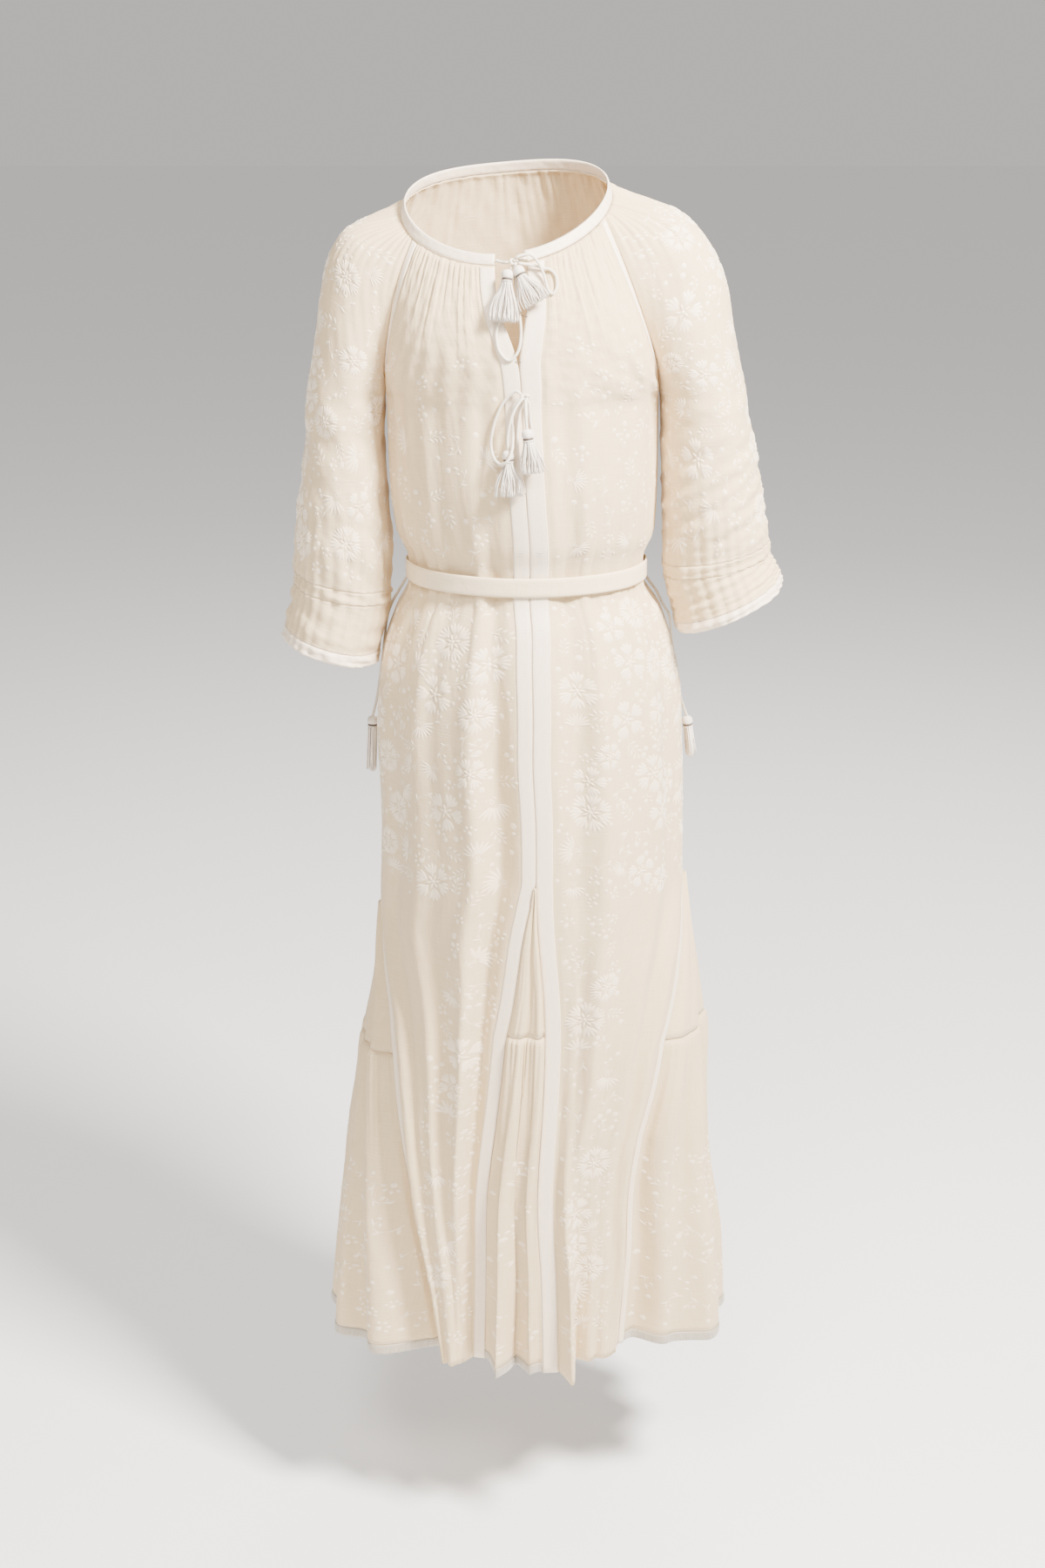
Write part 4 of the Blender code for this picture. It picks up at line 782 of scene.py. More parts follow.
class Shader:
    """A material's node tree with a Principled shader at its end."""

    def __init__(self, name: str) -> None:
        """Makes an empty material."""
        self.material = bpy.data.materials.new(name)
        self.material.use_nodes = True
        self.tree = self.material.node_tree
        self.tree.nodes.clear()
        self.output = self.tree.nodes.new("ShaderNodeOutputMaterial")
        self.surface = self.tree.nodes.new("ShaderNodeBsdfPrincipled")
        self.tree.links.new(self.surface.outputs[0], self.output.inputs["Surface"])

    def node(
        self, kind: str, settings: dict | None = None, inputs: dict | None = None, out: int | str = 0
    ) -> Signal:
        """Adds a node.

        Args:
            kind: The node's type.
            settings: Its settings, set before its sockets.
            inputs: A value or a Signal for each of its sockets, by name or number.
            out: Which output to give back.

        Returns:
            That output's signal.
        """
        made = self.tree.nodes.new(kind)
        for key, value in (settings or {}).items():
            setattr(made, key, value)
        for key, value in (inputs or {}).items():
            self.feed(made.inputs[key], value)
        return Signal(self, made.outputs[out])

    def feed(self, socket: bpy.types.NodeSocket, value: object) -> None:
        """Links or sets one socket."""
        if isinstance(value, Signal):
            self.tree.links.new(value.socket, socket)
        else:
            socket.default_value = value

    def scaled(self, scale: Point) -> Signal:
        """The cloth's texture places, in metres, times a scale for each direction."""
        places = self.node("ShaderNodeUVMap", {"uv_map": "cloth"})
        return self.node("ShaderNodeVectorMath", {"operation": "MULTIPLY"}, {0: places, 1: scale})

    def noise(self, scale: Point, detail: float = 2.0) -> Signal:
        """Noise on the cloth with features per metre across and down."""
        inputs = {"Vector": self.scaled(scale), "Scale": 1.0, "Detail": detail}
        return self.node("ShaderNodeTexNoise", {}, inputs)

    def blend(
        self, share: "Signal | float", a: tuple[float, ...] | Signal, b: tuple[float, ...] | Signal
    ) -> Signal:
        """A colour between two."""
        made = self.tree.nodes.new("ShaderNodeMix")
        made.data_type = "RGBA"
        self.feed(made.inputs[0], share)
        self.feed(made.inputs[6], a if isinstance(a, Signal) else (*a, 1.0))
        self.feed(made.inputs[7], b if isinstance(b, Signal) else (*b, 1.0))
        return Signal(self, made.outputs[2])

    def bump(self, height: Signal, distance: float, strength: float = 1.0) -> None:
        """Raises the surface's normal by a height."""
        made = self.node("ShaderNodeBump", {}, {"Strength": strength, "Distance": distance, "Height": height})
        self.feed(self.surface.inputs["Normal"], made)

    def through(self, share: float, colour: tuple[float, ...] | Signal) -> None:
        """Lets a share of the light through the cloth."""
        glow = self.tree.nodes.new("ShaderNodeBsdfTranslucent")
        self.feed(glow.inputs["Color"], colour if isinstance(colour, Signal) else (*colour, 1.0))
        both = self.tree.nodes.new("ShaderNodeMixShader")
        both.inputs[0].default_value = share
        self.tree.links.new(self.surface.outputs[0], both.inputs[1])
        self.tree.links.new(glow.outputs[0], both.inputs[2])
        self.tree.links.new(both.outputs[0], self.output.inputs["Surface"])


@dataclass(frozen=True)
class Linen:
    """Plain-woven cloth with slubs: colours, thread pitch and how much light it lets through."""

    name: str
    light: tuple[float, float, float]
    deep: tuple[float, float, float]
    pitch: float = 0.9 * MM
    through: float = 0.22
    roughness: float = 0.86
    sheen: float = 0.25

    def make(self) -> bpy.types.Material:
        """Builds the material."""
        shader = Shader(self.name)
        fine, long = 1 / self.pitch, 1 / (26 * MM)
        warp, weft = shader.noise((fine, long, 1)), shader.noise((long, fine, 1))
        slub = shader.noise((1 / (34 * MM), 1 / (1.7 * MM), 1)).ramp(0.56, 0.72)
        slub_down = shader.noise((1 / (1.7 * MM), 1 / (44 * MM), 1)).ramp(0.58, 0.74)
        patch = shader.noise((1 / (90 * MM), 1 / (120 * MM), 1), 3.0)
        thread = warp * 0.5 + weft * 0.5
        shade = (thread.ramp(0.34, 0.66) * 0.55 + slub * 0.30 + slub_down * 0.20 + patch * 0.30) * 0.82
        colour = shader.blend(shade, self.deep, self.light)
        shader.feed(shader.surface.inputs["Base Color"], colour)
        shader.surface.inputs["Roughness"].default_value = self.roughness
        shader.surface.inputs["Sheen Weight"].default_value = self.sheen
        shader.surface.inputs["Sheen Roughness"].default_value = 0.5
        crush = shader.noise((1 / (9 * MM), 1 / (13 * MM), 1), 3.0)
        shader.bump(thread + slub * 0.5 + slub_down * 0.35 + crush * 2.2, 0.32 * MM, 0.75)
        shader.through(self.through, colour)
        return shader.material


@dataclass(frozen=True)
class Satin:
    """Smooth tape or thread whose fine lines run one way."""

    name: str
    light: tuple[float, float, float]
    deep: tuple[float, float, float]
    pitch: float = 0.45 * MM
    along: bool = True
    roughness: float = 0.46
    sheen: float = 0.3
    relief: float = 0.16 * MM

    def make(self) -> bpy.types.Material:
        """Builds the material."""
        shader = Shader(self.name)
        fine, long = 1 / self.pitch, 1 / (14 * MM)
        lines = shader.noise((fine, long, 1) if self.along else (long, fine, 1))
        patch = shader.noise((1 / (22 * MM), 1 / (22 * MM), 1))
        colour = shader.blend(lines.ramp(0.32, 0.68) * 0.6 + patch * 0.4, self.deep, self.light)
        shader.feed(shader.surface.inputs["Base Color"], colour)
        shader.feed(shader.surface.inputs["Roughness"], lines * 0.2 + (self.roughness - 0.1))
        shader.surface.inputs["Sheen Weight"].default_value = self.sheen
        shader.bump(lines + patch * 0.5, self.relief, 0.8)
        return shader.material


IVORY = Linen("ivory_linen", (0.93, 0.76, 0.52), (0.77, 0.60, 0.35))
BELT_LINEN = Linen("belt_linen", (0.93, 0.77, 0.545), (0.80, 0.645, 0.41), pitch=0.7 * MM, through=0.05)
TAPE = Satin("trim_tape", (0.91, 0.765, 0.61), (0.77, 0.63, 0.475), pitch=0.7 * MM)
GREY_SATIN = Satin("grey_satin_binding", (0.50, 0.44, 0.36), (0.30, 0.255, 0.20), pitch=0.8 * MM)
SILK = Satin(
    "embroidery_thread", (0.93, 0.775, 0.60), (0.78, 0.635, 0.44), pitch=0.42 * MM, along=False, sheen=0.5
)
THREAD = Satin("sewing_thread", (0.87, 0.79, 0.67), (0.66, 0.57, 0.44), pitch=0.3 * MM)
CORD_YARN = Satin("cord_yarn", (0.87, 0.79, 0.68), (0.64, 0.55, 0.43), pitch=0.35 * MM, roughness=0.6)
TASSEL_YARN = Satin("tassel_yarn", (0.90, 0.82, 0.74), (0.66, 0.57, 0.48), pitch=0.4 * MM, roughness=0.55)
# Dark brown thread: its own colour on the tassel bindings; on the slit bars the near-black colour is painted
# shadow of the hook fastenings.
BROWN_THREAD_AND_SHADOW = Satin("brown_thread_and_shadow", (0.10, 0.065, 0.045), (0.04, 0.025, 0.018), pitch=0.3 * MM)


CENTRE = ((-0.175, -0.5), (-0.30, 1.5), (-0.668, 1.0))
GODET_CENTRE_LEFT = ((-0.668, 1.0), (-0.738, -4.4), (-0.843, -10.8), (-1.030, -12.4), (-1.250, -13.4))
GODET_CENTRE_RIGHT = ((-0.668, 1.0), (-0.738, 1.9), (-0.843, 2.8), (-1.030, 3.6), (-1.250, 4.3))
GODET_LEFT_FRONT = (
    (-0.738, -90.0), (-0.843, -66.0), (-0.895, -58.0), (-1.030, -44.0), (-1.160, -34.0), (-1.250, -29.5)
)
GODET_RIGHT_FRONT = (
    (-0.702, 90.0), (-0.790, 66.0), (-0.871, 51.0), (-0.980, 42.0), (-1.160, 36.0), (-1.250, 34.0)
)
GODET_LEFT_BACK = ((-0.738, -90.0), (-0.843, -112.0), (-0.895, -119.0), (-1.030, -132.0), (-1.250, -147.0))
GODET_RIGHT_BACK = ((-0.702, 90.0), (-0.790, 111.0), (-0.871, 124.0), (-1.030, 138.0), (-1.250, 148.0))
CHEST_LEFT, CHEST_RIGHT = ((-0.175, -90.0),), ((-0.175, 90.0),)

# Share of the way across, then millimetres out of the smooth ring at chest, waist, hip, knee and hem
FRONT_LEFT_FOLDS = (
    (0.00, 0, 0, -5, -16, -34), (0.09, -1, -4, -16, -24, -30), (0.22, 1, 0, 3, 3, -20),
    (0.38, -1, -3, -4, -8, -14), (0.54, 1, 0, 0, 0, -8), (0.70, -1, -3, -5, -6, -12),
    (0.86, 0, 0, 1, 2, -10), (1.00, 0, 0, 0, -10, -46),
)
FRONT_RIGHT_FOLDS = (
    (0.00, 0, 0, -5, -14, -8), (0.12, -1, -3, -10, -9, 20), (0.27, 1, 0, 3, 2, -30),
    (0.42, -1, -3, -4, -3, -22), (0.57, 1, 0, 1, 1, -26), (0.72, -1, -3, -5, -6, -24),
    (0.86, 0, 0, 1, 1, -30), (1.00, 0, 0, 0, -10, -46),
)
BACK_FOLDS = (
    (0.00, 0, 0, 0, -10, -44), (0.07, 0, 0, 1, 1, -18), (0.15, -1, -3, -6, -10, -30),
    (0.24, 1, 0, 1, 3, 4), (0.33, -1, -3, -8, -12, -22), (0.41, 0, 0, 2, 2, 2),
    (0.50, -1, -3, -6, -13, -26), (0.60, 0, 0, 2, 4, 5), (0.69, -1, -3, -7, -11, -20),
    (0.78, 1, 0, 1, 1, 3), (0.86, -1, -3, -5, -9, -30), (0.94, 0, 0, 1, 0, -16),
    (1.00, 0, 0, 0, -10, -44),
)
FRONT_GODET_FOLDS = (
    (0.00, 0, 0, -5, -16, -34), (0.26, 0, 0, -4, -8, 8), (0.52, 0, 0, -5, -14, -28),
    (0.78, 0, 0, -4, -8, 2), (1.00, 0, 0, -5, -14, -8),
)
LEFT_GODET_FOLDS = (
    (0.00, 0, 0, 0, -10, -46), (0.15, 0, 0, 0, 2, 6), (0.21, 0, 0, 0, -3, -8), (0.29, 0, 0, 0, 1, 12),
    (0.38, 0, 0, 0, -5, -14), (0.50, 0, 0, 0, 0, 0), (0.61, 0, 0, 0, -5, -22), (0.72, 0, 0, 0, 1, 6),
    (0.83, 0, 0, 0, -5, -22), (0.92, 0, 0, 0, 0, -2), (1.00, 0, 0, 0, -10, -44),
)
RIGHT_GODET_FOLDS = (
    (0.00, 0, 0, 0, -10, -48), (0.12, 0, 0, 0, 0, -18), (0.23, 0, 0, 0, 2, 14), (0.36, 0, 0, 0, -5, -10),
    (0.50, 0, 0, 0, 0, 0), (0.60, 0, 0, 0, -5, -22), (0.71, 0, 0, 0, 1, 8), (0.82, 0, 0, 0, -6, -24),
    (0.92, 0, 0, 0, 0, -4), (1.00, 0, 0, 0, -10, -44),
)
SHOULDER_LEFT = (
    (0.25, 0.1745, -0.012), (0.40, 0.1945, -0.038), (0.60, 0.2055, -0.081), (0.80, 0.2125, -0.125),
    (1.00, 0.2215, -0.172),
)
SHOULDER_RIGHT = (
    (0.25, 0.1535, 0.005), (0.40, 0.1840, -0.020), (0.60, 0.2065, -0.066), (0.80, 0.2175, -0.120),
    (1.00, 0.2285, -0.172),
)
SLEEVE_LEFT_RINGS = (
    (140.6, 221.5, -175, -172, 60, 0.0), (142.5, 224.4, -224, -224, 61, 0.0),
    (140.0, 231.0, -282, -276, 62, 0.6), (137.0, 237.0, -335, -322, 61, 2.0),
    (139.5, 238.5, -382, -363, 58, 3.0), (139.5, 239.5, -396, -377, 58, 3.0),
    (147.0, 245.0, -426, -402, 61, 2.6), (153.0, 250.0, -450, -422, 64, 2.4),
    (154.5, 252.5, -462, -434, 65, 2.4),
)
SLEEVE_RIGHT_RINGS = (
    (140.6, 228.5, -175, -172, 60, 0.0), (143.0, 238.0, -224, -220, 62, 0.0),
    (145.0, 246.0, -275, -262, 63, 0.6), (146.5, 252.0, -318, -300, 62, 2.0),
    (148.0, 256.0, -354, -332, 59, 3.0), (149.0, 258.0, -368, -345, 59, 3.0),
    (156.0, 265.0, -396, -358, 64, 3.0), (161.0, 269.0, -416, -368, 69, 3.2),
    (163.0, 272.0, -427, -377, 71, 3.2),
)


def level_of(z: float) -> float:
    """A panel's level at a height."""
    return 1 + BODY.chest_z - z


@dataclass(frozen=True)
class Petal:
    """One raised patch of satin stitch: its middle, direction, size and bend, in metres and radians."""

    x: float
    y: float
    angle: float
    length: float
    width: float
    height: float = 0.45 * MM
    bend: float = 0.0
    point: float = 0.7

    def moved(self, x: float, y: float, turn: float, grow: float) -> "Petal":
        """The petal turned and grown about the middle of its motif, then moved."""
        cosine, sine = math.cos(turn) * grow, math.sin(turn) * grow
        return Petal(
            x + self.x * cosine - self.y * sine, y + self.x * sine + self.y * cosine, self.angle + turn,
            self.length * grow, self.width * grow, self.height, self.bend, self.point,
        )


def radial(
    count: int, start: float, spread: float, reach: float, length: float, width: float, **more: float
) -> list[Petal]:
    """Petals that point away from a middle.

    Args:
        count: How many.
        start: The first one's direction.
        spread: The angle from the first to just past the last.
        reach: How far out their middles are.
        length: Their length.
        width: Their width.
        more: Further fields of the petals.

    Returns:
        The petals.
    """
    turns = [start + spread * k / count for k in range(count)]
    return [Petal(reach * math.cos(t), reach * math.sin(t), t, length, width, **more) for t in turns]


def chain(
    x: float, y: float, heading: float, parts: Sequence[tuple[float, float]], width: float
) -> tuple[list[Petal], Point]:
    """A stem of bent stretches, each starting where the last one ends.

    Args:
        x: Where it starts.
        y: Where it starts.
        heading: Its first direction.
        parts: Length and bend of each stretch.
        width: Its width.

    Returns:
        The stretches, and the place and direction of the end.
    """
    stem = []
    for length, bend in parts:
        middle = heading + bend / 2
        chord = length * math.sin(bend / 2) / (bend / 2)
        stem.append(_stretch(x, y, heading, length, bend, width))
        x, y, heading = x + chord * math.cos(middle), y + chord * math.sin(middle), heading + bend
    return stem, (x, y, heading)


def _stretch(x: float, y: float, heading: float, length: float, bend: float, width: float) -> Petal:
    """One stretch of a stem, held by its middle."""
    quarter = bend / 4
    half = length / 2 * math.sin(quarter) / quarter
    way = heading + quarter
    return Petal(
        x + half * math.cos(way), y + half * math.sin(way), heading + bend / 2,
        length * 1.06, width, 0.34 * MM, bend, 0.3,
    )


class Motif(Enum):
    """The kinds of embroidered motif, each with the radius it fills."""

    FLOWER = 20 * MM
    FAN = 17 * MM
    SCROLL = 16 * MM
    SPRIG = 13 * MM
    CLUSTER = 9 * MM
    DOT = 4 * MM

    def petals(self, dice: random.Random) -> list[Petal]:
        """The motif about its own middle."""
        size = self.value
        return {
            Motif.FLOWER: _flower, Motif.FAN: _fan, Motif.SCROLL: _scroll,
            Motif.SPRIG: _sprig, Motif.CLUSTER: _cluster, Motif.DOT: _dot,
        }[self](size, dice)


def _flower(size: float, dice: random.Random) -> list[Petal]:
    """Broad outer petals, narrow inner ones and a round middle."""
    count = dice.choice((5, 6, 7))
    ribs = [
        Petal(
            0.60 * size * math.cos(turn + lean), 0.60 * size * math.sin(turn + lean), turn + 2.2 * lean,
            (0.78 - 0.8 * abs(lean)) * size, 1.35 / count * size, 0.8 * MM, -lean,
        )
        for turn in [math.tau * k / count for k in range(count)]
        for lean in (-0.27, -0.09, 0.09, 0.27)
    ]
    inner = radial(count, math.pi / count, math.tau, 0.22 * size, 0.30 * size, 0.13 * size, height=0.9 * MM)
    return ribs + inner + [Petal(0, 0, 0, 0.22 * size, 0.22 * size, 0.95 * MM, 0, 0.5)]


def _fan(size: float, dice: random.Random) -> list[Petal]:
    """Narrow ribs spread like a shell over a small curled foot."""
    count = dice.choice((7, 8, 9))
    spread = 2.5 * count / (count - 1)
    ribs = radial(count, -1.25, spread, 0.52 * size, 0.86 * size, 1.45 / count * size, height=0.6 * MM)
    left, _ = chain(0, 0, 2.3, ((0.5 * size, 2.0), (0.28 * size, 2.4)), 0.09 * size)
    right, _ = chain(0, 0, -2.3, ((0.5 * size, -2.0), (0.28 * size, -2.4)), 0.09 * size)
    return ribs + left + right


def _scroll(size: float, dice: random.Random) -> list[Petal]:
    """A curling stem with a few leaves on its outside."""
    hand = dice.choice((-1, 1))
    curl = ((0.95, 0.8), (0.75, 1.5), (0.45, 1.9), (0.24, 2.2))
    parts = tuple((length * size, turn * hand) for length, turn in curl)
    stem, end = chain(-0.85 * size, -0.25 * size * hand, 0.1 * hand, parts, 0.095 * size)
    leaf = Petal(0.0, 0.0, 0.0, 0.46 * size, 0.20 * size, 0.55 * MM, 0.5 * hand)
    leaves = [
        replace(
            leaf,
            x=piece.x + 0.16 * size * math.sin(piece.angle) * hand,
            y=piece.y - 0.16 * size * math.cos(piece.angle) * hand,
            angle=piece.angle - 0.9 * hand,
        )
        for piece in stem[:3]
    ]
    return stem + leaves + [Petal(end[0], end[1], 0, 0.22 * size, 0.22 * size, 0.6 * MM, 0, 0.5)]


def _sprig(size: float, dice: random.Random) -> list[Petal]:
    """A bent stem with leaves in pairs and one at its tip."""
    bend = dice.choice((-1, 1)) * dice.uniform(0.25, 0.7)
    stem = Petal(0, 0, 0, 1.7 * size, 0.08 * size, 0.34 * MM, bend, 0.3)
    leaves = [Petal(0.95 * size, 0.10 * bend * size, bend / 2, 0.50 * size, 0.24 * size, 0.55 * MM)]
    for place in (-0.45, 0.0, 0.45):
        for side in (-1, 1):
            turn = side * 0.85 + bend * place
            leaves.append(
                Petal(
                    (place + 0.22) * size, side * 0.30 * size + 0.2 * bend * place**2 * size, turn,
                    0.52 * size, 0.22 * size, 0.55 * MM, side * 0.4,
                )
            )
    return [stem] + leaves


def _cluster(size: float, dice: random.Random) -> list[Petal]:
    """A large dot with four small ones round one side."""
    small = radial(4, -1.2, 3.2, 0.74 * size, 0.44 * size, 0.40 * size, height=0.6 * MM, point=0.5)
    return [Petal(-0.1 * size, 0, 0, 0.66 * size, 0.66 * size, 0.65 * MM, 0, 0.5)] + small


def _dot(size: float, dice: random.Random) -> list[Petal]:
    """One dot."""
    across = size * dice.uniform(1.1, 1.7)
    return [Petal(0, 0, 0, across, across, 0.6 * MM, 0, 0.5)]


@dataclass
class Embroidery:
    """Scatters motifs over a cloth's flat measure and lays them on its form."""

    cloth: Cloth
    seed: int
    # How many tries each kind gets per square metre of cloth
    tries: tuple[tuple[Motif, float], ...] = (
        (Motif.FLOWER, 420.0), (Motif.FAN, 700.0), (Motif.SCROLL, 3000.0),
        (Motif.SPRIG, 4200.0), (Motif.CLUSTER, 3200.0), (Motif.DOT, 6000.0),
    )
    closeness: float = 0.80
    grow: tuple[float, float] = (0.82, 1.18)
    sunk: float = 0.12 * MM
    petals: list[Petal] = field(default_factory=list)
    taken: list[tuple[float, float, float]] = field(default_factory=list)

    def scatter(
        self, rows: tuple[float, float], span: Span, density: float, kinds: Sequence[Motif]
    ) -> None:
        """Fills part of the cloth.

        Args:
            rows: Distances from the top where the part starts and ends.
            span: The sideways limits at a distance.
            density: Share of the usual tries.
            kinds: Which motifs are used.
        """
        dice = random.Random(self.seed * 101 + len(self.taken))
        limits = [span(row) for row in np.linspace(rows[0], rows[1], 9)]
        low, high = min(p[0] for p in limits), max(p[1] for p in limits)
        area = (rows[1] - rows[0]) * (high - low)
        for kind, rate in self.tries:
            for _ in range(round(area * rate * density) if kind in kinds else 0):
                self._try(kind, dice, rows, (low, high), span)

    def _try(
        self, kind: Motif, dice: random.Random, rows: tuple[float, float], sides: tuple[float, float],
        span: Span,
    ) -> None:
        """Puts one motif down where there is room for it."""
        grow = dice.uniform(*self.grow)
        x, y, turn = dice.uniform(*sides), dice.uniform(*rows), dice.uniform(0, math.tau)
        radius = kind.value * grow
        low, high = span(y)
        inside = low + radius < x < high - radius and rows[0] + radius < y < rows[1] - radius
        clear = all(math.hypot(x - a, y - b) > (radius + r) * self.closeness for a, b, r in self.taken)
        if inside and clear:
            self.taken.append((x, y, radius))
            self.petals += [petal.moved(x, y, turn, grow) for petal in kind.petals(dice)]

    def build(self, name: str, silk: bpy.types.Material, slot: str) -> bpy.types.Object:
        """Lays every petal on the cloth.

        Args:
            name: The piece's name.
            silk: The thread's material.
            slot: The material slot; not used.

        Returns:
            The piece.
        """
        fields = ("x", "y", "angle", "length", "width", "height", "bend", "point")
        x, y, angle, length, width, height, bend, point = (
            np.array([getattr(petal, key) for petal in self.petals])[:, None, None] for key in fields
        )
        t = np.array((0.0, 0.18, 0.5, 0.82, 1.0))[None, :, None]
        s = np.array((-1.0, -0.45, 0.45, 1.0))[None, None, :]
        bend = np.where(np.abs(bend) < 0.02, 0.02, bend)
        heading = angle + bend * (t - 0.5)
        along_x = x + length / bend * (np.sin(heading) - np.sin(angle))
        along_y = y - length / bend * (np.cos(heading) - np.cos(angle))
        rounding = np.sin(np.pi * clamp(t, 0.03, 0.97)) ** point
        half = s * width / 2 * rounding
        flat_x, flat_y = along_x - np.sin(heading) * half, along_y + np.cos(heading) * half
        lift = height * np.sqrt(1 - s**2) * np.sin(np.pi * t) ** 0.35 - self.sunk
        across, down = self.cloth.spot(flat_x, flat_y)
        points = self.cloth.lie_on(across, down, lift)
        places = np.stack(np.broadcast_arrays(half, t * length), axis=-1)
        mesh = Mesh()
        mesh.patches(points, places)
        thing = mesh.build(name, silk)
        declare(thing, slot)
        LOG.info("%s has %d petals", name, len(self.petals))
        return thing


def declare(thing: bpy.types.Object, slot: str, node: str = "") -> None:
    """Says what a piece rides on and hides the solid it stands for, if any."""
    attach(thing, "root")
    if node:
        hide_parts(node)


@dataclass(frozen=True)
class StitchRow:
    """Small stitches set out along a line on the cloth."""

    pitch: float = 3.0 * MM
    length: float = 2.2 * MM
    width: float = 0.7 * MM
    height: float = 0.35 * MM
    sunk: float = 0.05 * MM

    def sew(self, mesh: Mesh, line: Array, normals: Array) -> None:
        """Adds the row's stitches.

        Args:
            mesh: The mesh they go into.
            line: Points close together, on the cloth's outside.
            normals: The cloth's normals there.
        """
        run = run_along(line)
        wants = np.arange(self.pitch / 2, run[-1] - self.pitch / 2, self.pitch)
        middle, along, out = (
            np.stack([np.interp(wants, run, values[:, k]) for k in range(3)], axis=-1)[:, None, None]
            for values in (line, np.gradient(line, axis=0), normals)
        )
        along, out = unit(along), unit(out)
        side = np.cross(out, along)
        t = np.array((-1.0, 0.0, 1.0))[None, :, None, None]
        s = np.array((-1.0, 0.0, 1.0))[None, None, :, None]
        lift = self.height * np.sqrt((1 - s**2) * (1 - t**4)) - self.sunk
        wide, long = s * self.width / 2, t * self.length / 2
        points = middle + along * long + side * wide * (1 - 0.5 * t**4) + out * lift
        places = np.concatenate((wide + 0 * t, long + 0 * s), axis=-1)
        places = np.broadcast_to(places, (*points.shape[:3], 2))
        mesh.patches(points, places)


def half_span(
    lengths: Array, widths: Array, share: float, first: float = 0.0, last: float = 0.0
) -> Span:
    """The sideways limits of a cloth at a distance from its top.

    Args:
        lengths: Distances from the top.
        widths: The width at each.
        share: The share of the width that is used.
        first: What is left free at the first edge.
        last: What is left free at the last edge.

    Returns:
        A function from a distance to the two limits.
    """

    def span(distance: float) -> tuple[float, float]:
        """The limits at one distance."""
        half = float(np.interp(distance, lengths, widths)) * share / 2
        return first - half, half - last

    return span


def beside_edge(span: Span, width: float) -> Span:
    """The sideways limits of a strip along the first edge of a span."""
    return lambda distance: (span(distance)[0], span(distance)[0] + width)


# Heights of the front slit's tip and of the side godets' tips
SLIT_TIP = -0.668
GODET_TIPS = {Side.LEFT: -0.738, Side.RIGHT: -0.702}


